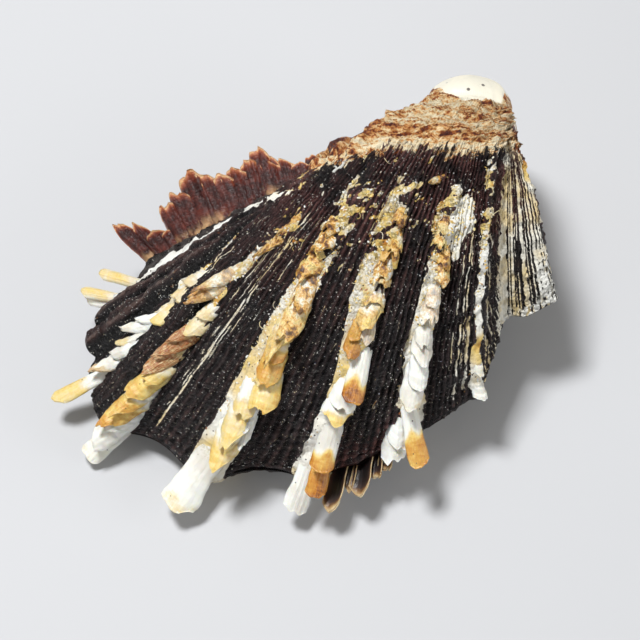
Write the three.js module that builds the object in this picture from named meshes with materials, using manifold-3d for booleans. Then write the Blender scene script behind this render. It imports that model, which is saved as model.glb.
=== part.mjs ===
import * as THREE from "three";
import { mergeVertices } from "three/addons/utils/BufferGeometryUtils.js";
import Module from "manifold-3d";

// A spiny oyster shell, closed: an upper and a lower valve, millimetres, +Z up.
// Each valve is a cup that grew from a hinge along its own X axis. Its outside is the margin, swung up
// about the hinge and shrunk towards the umbo at one steady rate, so a rib keeps its line as it grows.
// "Across" counts along the margin: 0 is the frilled ridge on the left, 1 to 7 are the ribs from left to
// right, 8 to 10 are the ear. "Swing" is the angle, in degrees, from the margin back to older shell.

const wasm = await Module();
wasm.setup();

// Growth
const GROWTH_RATE = 0.85;
const OLDEST_SWING = 107;
const MARGIN = [
  [-63.0, 23.1],
  [-67.5, 31.0],
  [-70.5, 43.7],
  [-67.3, 52.7],
  [-50.6, 60.7],
  [-31.8, 59.7],
  [-16.4, 53.2],
  [-5.4, 44.6],
  [-0.8, 32.8],
  [3.5, 31.6],
  [8.2, 28.7],
];
const FIRST_ACROSS = 0;
const LAST_ACROSS = MARGIN.length - 1;
const EAR_ROOT = 8;
const EAR_ROOT_X = -0.8;
const EAR_STARTS = [30, 100];

// The sides of a valve, from the frilled ridge and from the ear down to the joint between the valves
const LEFT_SHOULDER = 5.1;
const LEFT_SHOULDER_ENDS = 60;
const LEFT_FLARE = 0.05;
const RIGHT_UNDERCUT = 0.2;
const RIGHT_SHOULDER = 1.4;

// Umbo: a worn round knob over the hinge
const KNOB_BULGE = 7;
const KNOB_TOP = 12;
const KNOB_CENTRE = new THREE.Vector3(-6, 2.4, 0);
const KNOB_STEPS = [0.3, 0.58, 0.8, 0.94, 1];

// Relief
const RIB_HEIGHT = 1.5;
const RIB_HALF_WIDTH = 0.15;
const SCALLOP_DEPTH = 7;

// The band on the right of each rib from 0 to 7: how far it is crowned, and how far the margin of each
// valve is drawn back there. Below 0 the margin bulges.
const BAND_CROWNS = [0.5, 1.6, 1.4, 0.7, 0.7, 0.7, 0.7, 0.4];
const UPPER_SCALLOPS = [1, 0, 2.3, 3.1, 2.7, 0.2, 0.3, -0.4];
const LOWER_SCALLOPS = [1, 0.3, 2.2, 2.9, 2.2, 0, 0.2, -0.4];

// Long rounded ridges between the ribs on the left: across of the middle, half width and height, and the
// swings over which they fade out
const LONG_RIDGES = [
  [1.25, 0.16, 2.2],
  [1.58, 0.18, 2],
  [2.55, 0.32, 1.6],
];
const LONG_RIDGES_FADE = [24, 42];

// Walls
const CUP_CENTRE = new THREE.Vector3(-31, -28, 0);
const CAVITY_SHARE = 0.82;
const CAVITY_DROP = 0.5;
const VALVE_GAP = 0.3;
const CLEAR_OF_OTHER = 1.03;
const GROUND_WIDTH = 300;
const GROUND_DEPTH = 60;
const LOWER_DEPTH = 0.95;

// How the closed shell lies on the flat scar where it was cut from its rock
const UMBO_RAISED = 15;
const LEFT_LOWERED = 7.5;
const HEADING = 45;
const HINGE_AT = new THREE.Vector3(1.3, 41.85, 27);

// Scales of the upper valve: across, degrees of swing, length, width, turn and lift of each.
// A turn above 0 leans a scale to the left, towards the frilled ridge.
const FINGER_SPINES = [
  [1.07, 6.8, 8.9, 2.2, 33, 28],
  [1.07, 2.5, 8.2, 2.2, 27, 26],
  [1.08, 1, 6, 2.6, 33, 16],
];
const SECOND_RIB_SCALES = [
  [2.08, 26.5, 9.3, 4.4, -6, 8],
  [2.06, 20.8, 9, 3.3, -12, 8],
  [2.16, 14.8, 7.9, 2.8, 18, 16],
  [2.16, 11.5, 6.1, 2.6, 10, 16],
  [2.16, 9.2, 9.4, 3.5, -6, 20],
  [2.15, 4.8, 12.5, 3.4, -7, 24],
];
const THIRD_RIB_SCALES = [
  [3.2, 45, 8.6, 2.2, 1, 3],
  [2.99, 32.5, 11.5, 3.6, 12, 12],
  [3.05, 24.8, 7.7, 3.7, 0, 10],
  [3.07, 21.2, 10.3, 3.4, 7, 16],
  [3.05, 18, 10.3, 3.8, 6, 18],
  [3.08, 14, 10.8, 4.3, 5, 20],
  [3.06, 9.8, 12.8, 5, 2, 22],
  [3.12, 5.2, 10.6, 4.9, 6, 26],
  [3.14, 2.2, 9.6, 4.2, 5, 22],
];
const FOURTH_RIB_SCALES = [
  [3.92, 48.8, 7.5, 3.7, -3, 8],
  [3.8, 42.5, 8.5, 4, -15, 10],
  [3.91, 36.8, 12.4, 4.5, -15, 13],
  [3.93, 29.5, 9.8, 4.4, -14, 16],
  [4.02, 24.5, 9.5, 4.4, -10, 16],
  [4.04, 21.2, 10.4, 5.2, -17, 18],
  [3.9, 17.2, 12.4, 4.8, -17, 18],
  [3.98, 13, 13.4, 5.4, -9, 21],
  [4.04, 13.8, 9.7, 2.8, -19, 16],
  [3.97, 5.6, 13, 6.6, 4, 25],
];
const FIFTH_RIB_SCALES = [
  [5, 52.2, 6.2, 2.6, 4, 8],
  [4.98, 45.5, 6.7, 3.1, -5, 8],
  [4.99, 39.2, 7.7, 3.8, -2, 10],
  [5.01, 33, 6.8, 4.4, -3, 12],
  [4.94, 27.8, 8.8, 3, -1, 12],
  [5.04, 29.5, 7.1, 2.3, -6, 14],
  [5.11, 23.8, 12.7, 3.7, -2, 16],
  [5.03, 17.5, 9.7, 5.5, 1, 16],
  [5.04, 11, 11, 4.2, 3, 22],
  [5.04, 6.2, 10, 3.7, 3, 26],
  [4.94, 4, 10.8, 4.4, 6, 20],
];
const SIXTH_RIB_SCALES = [
  [5.73, 58, 5.5, 1.6, 38, 16],
  [5.85, 47.8, 7.1, 2.8, -4, 8],
  [5.96, 39.5, 8.1, 3.1, -7, 10],
  [6.02, 31, 7.8, 3.3, 4, 12],
  [5.96, 24.2, 8.9, 3.7, 1, 14],
  [6, 17, 10.6, 4.1, 8, 15],
  [5.87, 6, 8.6, 4.6, 3, 16],
  [5.89, 9, 12.4, 3.6, -13, 28],
];
const LAST_RIB_SCALES = [
  [7, 10, 5, 2, 5, 10],
  [7, 5.5, 6.2, 2.8, -1, 14],
];
const UPPER_SCALES = [
  ...FINGER_SPINES,
  ...SECOND_RIB_SCALES,
  ...THIRD_RIB_SCALES,
  ...FOURTH_RIB_SCALES,
  ...FIFTH_RIB_SCALES,
  ...SIXTH_RIB_SCALES,
  ...LAST_RIB_SCALES,
];

// Leafy frills that stand out to the left of the frilled ridge: place, length, width and turn
const FRILLS = [
  { swing: 0.8, length: 9, width: 4.4, turn: 60 },
  { swing: 4, length: 4.5, width: 6.5, turn: 75 },
  { swing: 8, length: 8, width: 7, turn: 88 },
  { swing: 11.5, length: 9, width: 7.5, turn: 90 },
  { swing: 15, length: 10.5, width: 8, turn: 90 },
  { swing: 18.5, length: 9.5, width: 7.5, turn: 98 },
  { swing: 22.5, length: 7.5, width: 7.5, turn: 105 },
  { swing: 28, length: 9, width: 7, turn: 103 },
  { swing: 34, length: 5, width: 6, turn: 100 },
  { swing: 40, length: 3.5, width: 4.5, turn: 100 },
];
const FRILL_LIFT = 50;

// Gutter-shaped tongues along the margin of the lower valve: across, length and width
const TONGUES = [
  { across: 5.25, length: 12, width: 3.6 },
  { across: 5.36, length: 8.5, width: 2.2 },
  { across: 5.49, length: 10, width: 4.2 },
  { across: 5.63, length: 8, width: 2.4 },
  { across: 5.74, length: 7.5, width: 3 },
];
const TONGUE_SWING = 4;
const TONGUE_LIFT = 22;

const radians = THREE.MathUtils.degToRad;
const smooth = THREE.MathUtils.smoothstep;
const marginLine = new THREE.SplineCurve(MARGIN.map(([x, v]) => new THREE.Vector2(x, v)));

// The margin's point and outward direction in its own plane: x to the right, y ventral
function marginAt(across) {
  const share = THREE.MathUtils.clamp(across / LAST_ACROSS, 0, 1);
  const at = marginLine.getPoint(share);
  const ahead = marginLine.getPoint(Math.min(share + 0.002, 1));
  const behind = marginLine.getPoint(Math.max(share - 0.002, 0));
  const way = ahead.sub(behind).normalize();
  return { at, out: new THREE.Vector2(-way.y, way.x) };
}

// How far the outside stands out from the plain cup
function relief(across, swing, side) {
  const rib = Math.round(across);
  const isRib = rib >= 1 && rib <= 7;
  const off = (across - rib) / RIB_HALF_WIDTH;
  const band = Math.sin(Math.PI * (across - Math.floor(across))) ** 2;
  const index = Math.floor(across);
  const drawnBack = (side > 0 ? UPPER_SCALLOPS : LOWER_SCALLOPS)[index] * Math.exp(-swing / SCALLOP_DEPTH);
  const onFan = across > FIRST_ACROSS && across < EAR_ROOT;
  const onRib = isRib ? RIB_HEIGHT * Math.exp(-off * off) : 0;
  return onRib + (onFan ? band * (BAND_CROWNS[index] - drawnBack) : 0) + longRidges(across, swing);
}

// The rounded section of the long ridges
function longRidges(across, swing) {
  const fade = 1 - smooth(swing, ...LONG_RIDGES_FADE);
  return LONG_RIDGES.reduce((height, [middle, half, top]) => {
    const off = (across - middle) / half;
    return height + fade * top * Math.sqrt(Math.max(0, 1 - off * off));
  }, 0);
}

// A point of the fan between the frilled ridge and the ear, in the valve's own axes
function fanPoint(across, swing, side, raised) {
  const { at, out } = marginAt(across);
  const height = raised ? relief(across, swing, side) : 0;
  let x = at.x + out.x * height;
  const v = at.y + out.y * height;
  const narrowing = smooth(swing, ...EAR_STARTS);
  if (across > EAR_ROOT) x = THREE.MathUtils.lerp(x, EAR_ROOT_X, narrowing);
  const size = Math.exp(-GROWTH_RATE * radians(swing));
  const depth = side > 0 ? 1 : -LOWER_DEPTH;
  const turn = radians(swing);
  return new THREE.Vector3(size * x, -size * v * Math.cos(turn), depth * size * v * Math.sin(turn));
}

// Any point of the outside: across below 0 or above 10 runs down a side to the joint
function outsidePoint(across, swing, side, raised) {
  if (across >= FIRST_ACROSS && across <= LAST_ACROSS) return fanPoint(across, swing, side, raised);
  const left = across < FIRST_ACROSS;
  const top = fanPoint(left ? FIRST_ACROSS : LAST_ACROSS, swing, side, raised);
  const foot = top.clone().setZ(0);
  const opening = smooth(swing, 0, LEFT_SHOULDER_ENDS);
  if (left) {
    foot.x *= 1 + LEFT_FLARE * opening;
    foot.y += LEFT_SHOULDER * opening;
  } else {
    foot.x -= RIGHT_UNDERCUT * Math.abs(top.z);
    foot.y += RIGHT_SHOULDER * smooth(swing, 0, OLDEST_SWING);
  }
  return top.lerp(foot, left ? -across : across - LAST_ACROSS);
}

// A point of the worn knob, from its rim (share 0) to its far end (share 1)
function knobPoint(across, share, side, raised) {
  const rim = outsidePoint(across, OLDEST_SWING, side, raised);
  const ring = rim.sub(KNOB_CENTRE).multiplyScalar(Math.sqrt(1 - share * share)).add(KNOB_CENTRE);
  const overhang = 0.5 + 0.5 * smooth(Math.abs(ring.z) / KNOB_TOP, 0, 0.5);
  ring.y += KNOB_BULGE * share * overhang;
  return ring;
}

// A cup closed by a flat lid on the joint's plane, as a solid
function cupSolid(side, acrossSteps, swingSteps, raised, place) {
  const rows = swingSteps.map((swing) => acrossSteps.map((a) => outsidePoint(a, swing, side, raised)));
  KNOB_STEPS.forEach((share) => rows.push(acrossSteps.map((a) => knobPoint(a, share, side, raised))));
  const last = acrossSteps.length - 1;
  const loop = [
    ...rows[0],
    ...rows.slice(1).map((row) => row[last]),
    ...rows.slice(1, -1).reverse().map((row) => row[0]),
  ];
  const triangles = [];
  for (let i = 1; i < rows.length; i++)
    for (let j = 1; j <= last; j++) {
      triangles.push([rows[i - 1][j - 1], rows[i - 1][j], rows[i][j]]);
      triangles.push([rows[i - 1][j - 1], rows[i][j], rows[i][j - 1]]);
    }
  loop.forEach((point, i) => triangles.push([CUP_CENTRE, loop[(i + 1) % loop.length], point]));
  return solidOf(triangles.map((corners) => corners.map((corner) => place(corner.clone()))));
}

// A closed set of triangles as a manifold solid, its faces turned outwards
function solidOf(triangles) {
  const flat = triangles.flatMap((corners) => corners.flatMap((corner) => corner.toArray()));
  const loose = new THREE.BufferGeometry();
  loose.setAttribute("position", new THREE.Float32BufferAttribute(flat, 3));
  const merged = mergeVertices(loose, 1e-3);
  const points = merged.attributes.position.array;
  const kept = [];
  let volume = 0;
  for (let i = 0; i < merged.index.count; i += 3) {
    const corners = [0, 1, 2].map((step) => merged.index.getX(i + step));
    if (new Set(corners).size < 3) continue;
    kept.push(...corners);
    const [a, b, c] = corners.map((corner) => new THREE.Vector3().fromArray(points, 3 * corner));
    volume += a.dot(b.cross(c));
  }
  if (volume < 0) kept.reverse();
  const mesh = new wasm.Mesh({ numProp: 3, vertProperties: points, triVerts: new Uint32Array(kept) });
  return new wasm.Manifold(mesh);
}

// The axes of growth at a point of the outside: ventral, to the left, and outwards
function axesAt(across, swing, side) {
  const at = fanPoint(across, swing, side, true);
  const step = 0.05;
  const ventral = fanPoint(across, swing - step, side, false).sub(fanPoint(across, swing + step, side, false));
  const aside = fanPoint(across + step, swing, side, false).sub(fanPoint(across - step, swing, side, false));
  const out = new THREE.Vector3().crossVectors(aside, ventral).multiplyScalar(-side).normalize();
  ventral.normalize();
  const left = new THREE.Vector3().crossVectors(ventral, out).multiplyScalar(side);
  return { at, ventral, left, out };
}

// A tongue of shell: a thin tapered gutter with its hollow side towards the valve or, cupped below 0,
// away from it. The root is sunk in the valve.
function tongueSolid(across, swing, side, { length, width, lift, turn, cup, thick, sunk, tip, sections }) {
  const { at, ventral, left, out } = axesAt(across, swing, side);
  const level = ventral.clone().multiplyScalar(Math.cos(radians(turn)));
  level.addScaledVector(left, Math.sin(radians(turn)));
  const along = level.multiplyScalar(Math.cos(radians(lift))).addScaledVector(out, Math.sin(radians(lift)));
  const broad = new THREE.Vector3().crossVectors(along, out).normalize();
  const up = new THREE.Vector3().crossVectors(broad, along).normalize();
  const rings = sections.map(([share, wide]) => {
    const centre = at.clone().addScaledVector(along, share * length).addScaledVector(out, -sunk * (1 - share));
    const half = (width / 2) * THREE.MathUtils.lerp(wide, wide * tip, share);
    const corner = (x, z) => centre.clone().addScaledVector(broad, half * x).addScaledVector(up, z);
    const drop = cup * half;
    const edge = 0.35 * thick;
    return [
      corner(-1, -drop + edge),
      corner(0, thick),
      corner(1, -drop + edge),
      corner(1, -drop - edge),
      corner(0, 0),
      corner(-1, -drop - edge),
    ];
  });
  const triangles = [];
  const count = rings[0].length;
  for (let i = 1; i < rings.length; i++)
    for (let j = 0; j < count; j++) {
      const k = (j + 1) % count;
      triangles.push([rings[i - 1][j], rings[i - 1][k], rings[i][k]]);
      triangles.push([rings[i - 1][j], rings[i][k], rings[i][j]]);
    }
  const [first, last] = [rings[0], rings[rings.length - 1]];
  const halves = [
    [0, 1, 4, 5],
    [1, 2, 3, 4],
  ];
  halves.forEach(([a, b, c, d]) => {
    triangles.push([first[a], first[c], first[b]], [first[a], first[d], first[c]]);
    triangles.push([last[a], last[b], last[c]], [last[a], last[c], last[d]]);
  });
  return solidOf(triangles);
}

// Width along a tongue, as pairs of the share of its length and the share of its full width
const BLUNT_SECTIONS = [
  [0, 0.8],
  [0.5, 0.95],
  [0.9, 1],
  [1, 0.8],
];

function upperScales() {
  return UPPER_SCALES.map(([across, swing, length, width, turn, lift]) =>
    tongueSolid(across, swing, 1, {
      length,
      width,
      lift,
      turn,
      cup: 0.45,
      thick: 1.1,
      sunk: 1.8,
      tip: 1,
      sections: BLUNT_SECTIONS,
    }),
  );
}

function frills() {
  return FRILLS.map(({ swing, length, width, turn }) =>
    tongueSolid(FIRST_ACROSS, swing, 1, {
      length,
      width,
      lift: FRILL_LIFT,
      turn,
      cup: 0.25,
      thick: 1,
      sunk: 1.2,
      tip: 0.8,
      sections: BLUNT_SECTIONS,
    }),
  );
}

function lowerTongues() {
  return TONGUES.map(({ across, length, width }) =>
    tongueSolid(across, TONGUE_SWING, -1, {
      length,
      width,
      lift: TONGUE_LIFT,
      turn: 0,
      cup: 0.5,
      thick: 0.8,
      sunk: 1.4,
      tip: 0.8,
      sections: BLUNT_SECTIONS,
    }),
  );
}

// Where the outside is sampled: on each rib, on both its flanks and in the middle of each band, on the
// ridges and the groove of the band beside the finger spines, and more coarsely on the plain ear
const BAND_STEPS = [0, 0.15, 0.5, 0.85];
const RIDGED_STEPS = [0, 0.1, 0.25, 0.41, 0.58, 0.76];
const EAR_STEPS = [0, 0.5];
const stepsOf = (band) => (band === 1 ? RIDGED_STEPS : band < EAR_ROOT ? BAND_STEPS : EAR_STEPS);
const fanSteps = [...Array(LAST_ACROSS).keys()].flatMap((i) => stepsOf(i).map((part) => i + part));
const OUTSIDE_ACROSS = [-1, -0.66, -0.33, ...fanSteps, LAST_ACROSS, LAST_ACROSS + 0.5, LAST_ACROSS + 1];
const OUTSIDE_SWING = [0, 3, 7, 12, 18, 25, 33, 42, 52, 63, 75, 90, OLDEST_SWING];
const INSIDE_ACROSS = [-1, -0.5, ...Array(LAST_ACROSS).keys(), LAST_ACROSS, LAST_ACROSS + 1];
const INSIDE_SWING = [0, 8, 18, 30, 45, 62, 85, OLDEST_SWING];

function outsideCup(side, share, lifted) {
  return cupSolid(side, OUTSIDE_ACROSS, OUTSIDE_SWING, true, (point) => {
    point.sub(CUP_CENTRE).multiplyScalar(share).add(CUP_CENTRE);
    return point.setZ(point.z + lifted);
  });
}

function valve(side, extras) {
  const halfGap = (side * VALVE_GAP) / 2;
  const outside = outsideCup(side, 1, halfGap);
  const otherValve = outsideCup(-side, CLEAR_OF_OTHER, halfGap);
  const cavity = cupSolid(side, INSIDE_ACROSS, INSIDE_SWING, false, (point) => {
    point.sub(CUP_CENTRE).multiplyScalar(CAVITY_SHARE).add(CUP_CENTRE);
    return point.setZ(point.z - side * CAVITY_DROP);
  });
  const grown = extras.reduce((whole, extra) => whole.add(extra.subtract(otherValve)), outside);
  return grown.subtract(cavity);
}

// The block of rock below the resting shell, in the valves' axes
function groundSolid(shell) {
  const block = new THREE.BoxGeometry(GROUND_WIDTH, GROUND_WIDTH, GROUND_DEPTH);
  block.translate(0, 0, -GROUND_DEPTH / 2).applyMatrix4(shell.matrixWorld.clone().invert());
  const corners = block.toNonIndexed().attributes.position;
  const triangles = [];
  for (let i = 0; i < corners.count; i += 3)
    triangles.push([0, 1, 2].map((step) => new THREE.Vector3().fromBufferAttribute(corners, i + step)));
  return solidOf(triangles);
}

function geometryOf(solid) {
  const { numProp, vertProperties, triVerts } = solid.getMesh();
  const points = new Float32Array((vertProperties.length / numProp) * 3);
  for (let i = 0; i < points.length / 3; i++)
    points.set(vertProperties.subarray(i * numProp, i * numProp + 3), i * 3);
  const geometry = new THREE.BufferGeometry();
  geometry.setAttribute("position", new THREE.BufferAttribute(points, 3));
  geometry.setIndex(new THREE.BufferAttribute(triVerts, 1));
  return geometry;
}

function addMesh(group, name, solid, color) {
  const material = new THREE.MeshStandardMaterial({ color, roughness: 0.7, metalness: 0 });
  const mesh = new THREE.Mesh(geometryOf(solid), material);
  mesh.name = name;
  group.add(mesh);
}

const shell = new THREE.Group();
shell.rotation.set(radians(UMBO_RAISED), radians(-LEFT_LOWERED), radians(HEADING), "ZYX");
shell.position.copy(HINGE_AT);
shell.updateMatrixWorld();

const upper = valve(1, [...upperScales(), ...frills()]);
const lower = valve(-1, lowerTongues()).subtract(groundSolid(shell));
addMesh(shell, "upper_valve", upper, 0x3a2622);
addMesh(shell, "lower_valve", lower, 0x8a6a50);

export default shell;
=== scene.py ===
import math

import bpy
import numpy as np
from mathutils import Matrix, Vector


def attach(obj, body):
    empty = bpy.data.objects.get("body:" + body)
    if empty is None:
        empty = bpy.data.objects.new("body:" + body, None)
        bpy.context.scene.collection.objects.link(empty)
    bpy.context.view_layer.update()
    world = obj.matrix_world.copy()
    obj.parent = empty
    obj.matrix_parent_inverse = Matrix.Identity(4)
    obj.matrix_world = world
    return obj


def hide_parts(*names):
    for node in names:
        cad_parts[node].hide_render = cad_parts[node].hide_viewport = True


# A spiny oyster shell, closed. Each valve grew from a hinge along its own X axis, so its outside is the
# margin, swung up about the hinge and shrunk towards the umbo at one steady rate. "Across" counts along
# the margin: 0 is the frilled ridge on the left, 1 to 7 are the ribs, 8 to 10 are the ear, and beyond
# both ends the side walls run down to the joint. "Swing" is degrees from the margin back to older shell.
# Lengths are millimetres in the valves' own axes until place() turns them into metres as it rests.

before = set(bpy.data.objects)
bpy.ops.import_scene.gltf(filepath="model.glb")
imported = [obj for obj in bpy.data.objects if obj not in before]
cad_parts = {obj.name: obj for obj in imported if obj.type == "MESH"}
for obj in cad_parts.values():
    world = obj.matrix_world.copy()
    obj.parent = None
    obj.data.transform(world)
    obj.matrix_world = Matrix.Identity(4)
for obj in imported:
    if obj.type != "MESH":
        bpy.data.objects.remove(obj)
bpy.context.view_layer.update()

MM = 0.001

# Growth
GROWTH_RATE = 0.85
OLDEST_SWING = 107
MARGIN = [
    (-63.0, 23.1), (-67.5, 31.0), (-70.5, 43.7), (-67.3, 52.7), (-50.6, 60.7), (-31.8, 59.7),
    (-16.4, 53.2), (-5.4, 44.6), (-0.8, 32.8), (3.5, 31.6), (8.2, 28.7),
]
LAST_ACROSS = len(MARGIN) - 1
EAR_ROOT = 8
EAR_ROOT_X = -0.8
EAR_STARTS = (30, 100)

# Side walls, knob and inside of the valves
LEFT_SHOULDER = 5.1
LEFT_SHOULDER_ENDS = 60
LEFT_FLARE = 0.05
RIGHT_UNDERCUT = 0.2
RIGHT_SHOULDER = 1.4
WALL_HEIGHT = 7
KNOB_LENGTH = 9
KNOB_SWINGS = 12
KNOB_BULGE = 7
KNOB_CENTRE = np.array([-6, 2.4, 0])
KNOB_TOP = 12
CUP_CENTRE = np.array([-31, -28, 0])
CAVITY_SHARE = 0.82
CAVITY_SUNK = 1
VALVE_GAP = 0.3
LOWER_DEPTH = 0.95

# Relief
RIB_HEIGHT = 1.5
RIB_HALF_WIDTH = 0.15
SCALLOP_DEPTH = 7
RELIEF_WORN = (100, 72)

# The band on the right of each rib from 0 to 7: its crown, and how far each valve's margin is drawn back
BAND_CROWNS = np.array([0.5, 1.6, 1.4, 0.7, 0.7, 0.7, 0.7, 0.4])
SCALLOPS = {
    1: np.array([1, 0, 2.3, 3.1, 2.7, 0.2, 0.3, -0.4]),
    -1: np.array([1, 0.3, 2.2, 2.9, 2.2, 0, 0.2, -0.4]),
}

# How it rests
UMBO_RAISED = 15
LEFT_LOWERED = 7.5
HEADING = 45
HINGE_AT = (1.3, 41.85, 27)

# The camera, at the photograph's viewing angle
CAMERA_AZIMUTH = 50.52
CAMERA_ELEVATION = 61.80
CAMERA_ROLL = 0.12
CAMERA_AIM = (1.383, -1.776, 12.091)
CAMERA_DISTANCE = 408
CAMERA_LENS = 132.89

# Scales of the upper valve: across, swing, length, width, turn, lift, form, then the tint at the root, the
# tint at the tip and the share of the length where it changes. Tints: 0 white, 0.4 cream, 0.55 yellow,
# 0.8 amber; 1 is added for tan horn. A turn above 0 leans a scale to the left.
FINGER_SPINES = [
    (1.07, 6.8, 8.9, 2.2, 33, 28, "finger", 0.3, 0.5, 0.4),
    (1.07, 2.5, 8.2, 2.2, 27, 26, "finger", 0.3, 0.5, 0.4),
    (1.08, 1, 6.4, 2.6, 33, 16, "finger", 0.05, 0.2, 0.6),
]
SECOND_RIB_SCALES = [
    (2.08, 26.5, 9.3, 4.4, -6, 8, "scale", 0.25, 0.38, 0.5),
    (2.06, 20.8, 9, 3.3, -12, 8, "finger", 0.3, 0.46, 0.4),
    (2.16, 14.8, 7.9, 2.8, 18, 16, "leaf", 0.08, 0.22, 0.7),
    (2.16, 11.5, 6.1, 2.6, 10, 16, "leaf", 0.08, 0.38, 0.6),
    (2.16, 9.2, 9.4, 3.5, -6, 20, "leaf", 0.08, 1.35, 0.8),
    (2.15, 4.8, 12.5, 3.4, -7, 24, "spatula", 0.05, 0.5, 0.5),
]
THIRD_RIB_SCALES = [
    (3.2, 45, 8.6, 2.2, 1, 3, "leaf", 1.8, 1.8, 0.5),
    (2.99, 32.5, 11.5, 3.6, 12, 12, "leaf", 0.3, 1.6, 0.6),
    (3.05, 24.8, 7.7, 3.7, 0, 10, "scale", 0.3, 0.42, 0.5),
    (3.07, 21.2, 10.3, 3.4, 7, 16, "leaf", 0.4, 1.75, 0.25),
    (3.05, 18, 10.3, 3.8, 6, 18, "leaf", 0.4, 1.5, 0.35),
    (3.08, 14, 10.8, 4.3, 5, 20, "scale", 0.45, 0.64, 0.5),
    (3.06, 9.8, 12.8, 5, 2, 22, "leaf", 0.25, 0.68, 0.45),
    (3.12, 5.2, 10.6, 4.9, 6, 26, "scale", 0.03, 0.1, 0.5),
    (3.14, 2.2, 9.6, 4.2, 5, 22, "spatula", 0.08, 0.22, 0.6),
]
FOURTH_RIB_SCALES = [
    (3.92, 48.8, 7.5, 3.7, -3, 8, "scale", 0.15, 0.3, 0.5),
    (3.8, 42.5, 8.5, 4, -15, 10, "scale", 0.3, 0.6, 0.3),
    (3.91, 36.8, 12.4, 4.5, -15, 13, "lip", 0.15, 0.5, 0.6),
    (3.93, 29.5, 9.8, 4.4, -14, 16, "leaf", 0.25, 0.52, 0.45),
    (4.02, 24.5, 9.5, 4.4, -10, 16, "scale", 0.45, 0.74, 0.45),
    (4.04, 21.2, 10.4, 5.2, -17, 18, "lip", 0.3, 0.56, 0.4),
    (3.9, 17.2, 12.4, 4.8, -17, 18, "scale", 0.1, 0.48, 0.5),
    (3.98, 13, 13.4, 5.4, -9, 21, "leaf", 0.25, 0.5, 0.6),
    (4.04, 13.8, 9.7, 2.8, -19, 16, "leaf", 0.03, 0.1, 0.5),
    (3.97, 5.6, 13, 6.6, 4, 25, "spatula", 0.02, 0.34, 0.78),
]
FIFTH_RIB_SCALES = [
    (5, 52.2, 6.2, 2.6, 4, 8, "scale", 0.5, 0.84, 0.5),
    (4.98, 45.5, 6.7, 3.1, -5, 8, "lip", 0.4, 0.62, 0.5),
    (4.99, 39.2, 7.7, 3.8, -2, 10, "scale", 0.2, 0.45, 0.6),
    (5.01, 33, 6.8, 4.4, -3, 12, "lip", 0.08, 0.5, 0.6),
    (4.94, 27.8, 8.8, 3, -1, 12, "scale", 0.6, 0.86, 0.1),
    (5.04, 29.5, 7.1, 2.3, -6, 14, "spatula", 0.1, 0.2, 0.5),
    (5.11, 23.8, 12.7, 3.7, -2, 16, "finger", 0.08, 0.85, 0.66),
    (5.03, 17.5, 9.7, 5.5, 1, 16, "lip", 0.05, 0.54, 0.8),
    (5.04, 11, 11, 4.2, 3, 22, "finger", 0.05, 0.74, 0.66),
    (5.04, 6.2, 10, 3.7, 3, 26, "spatula", 0.7, 0.84, 0.3),
    (4.94, 4, 10.8, 4.4, 6, 20, "spatula", 0.0, 0.04, 0.5),
]
SIXTH_RIB_SCALES = [
    (5.73, 58, 5.5, 1.6, 38, 16, "leaf", 0.25, 0.3, 0.5),
    (5.85, 47.8, 7.1, 2.8, -4, 8, "lip", 0.3, 0.5, 0.5),
    (5.96, 39.5, 8.1, 3.1, -7, 10, "scale", 0.82, 0.35, 0.7),
    (6.02, 31, 7.8, 3.3, 4, 12, "lip", 0.08, 0.12, 0.5),
    (5.96, 24.2, 8.9, 3.7, 1, 14, "scale", 0.08, 0.14, 0.5),
    (6, 17, 10.6, 4.1, 8, 15, "scale", 0.03, 0.3, 0.85),
    (5.87, 6, 8.6, 4.6, 3, 16, "lip", 0.0, 0.04, 0.5),
    (5.89, 9, 12.4, 3.6, -13, 28, "spatula", 0.02, 0.76, 0.5),
]
LAST_RIB_SCALES = [
    (7, 10, 5, 2, 5, 10, "scale", 0.1, 0.2, 0.5),
    (7, 5.5, 6.2, 2.8, -1, 14, "lip", 0.03, 0.15, 0.6),
]
UPPER_SCALES = (FINGER_SPINES + SECOND_RIB_SCALES + THIRD_RIB_SCALES + FOURTH_RIB_SCALES + FIFTH_RIB_SCALES
                + SIXTH_RIB_SCALES + LAST_RIB_SCALES)

# Forms of scale: width along it, how round and how ragged its end is, how deep it is cupped, its layers as
# shares of its length and width, and the height of its growth steps. Older ones are raggeder and lumpier.
ONE_LAYER = [(1, 1)]
TWO_LAYERS = [(1, 1), (0.78, 0.84)]
FORMS = {
    "finger": ([(0, 0.9), (0.5, 0.88), (0.9, 1), (1, 0.9)], 0.08, 0.02, 0.5, ONE_LAYER, 0.0),
    "spatula": ([(0, 0.75), (0.45, 0.82), (0.85, 1), (1, 0.95)], 0.07, 0.05, 0.35, ONE_LAYER, 0.02),
    "scale": ([(0, 0.8), (0.35, 0.92), (0.75, 1), (0.92, 0.92), (1, 0.76)], 0.16, 0.1, 0.6, TWO_LAYERS, 0.3),
    "lip": ([(0, 0.6), (0.5, 0.82), (0.85, 1), (1, 1.02)], 0.14, 0.15, 0.65, TWO_LAYERS, 0.3),
    "leaf": ([(0, 0.85), (0.4, 1), (0.75, 0.82), (0.92, 0.62), (1, 0.45)], 0.2, 0.13, 0.6, TWO_LAYERS, 0.38),
}

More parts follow.
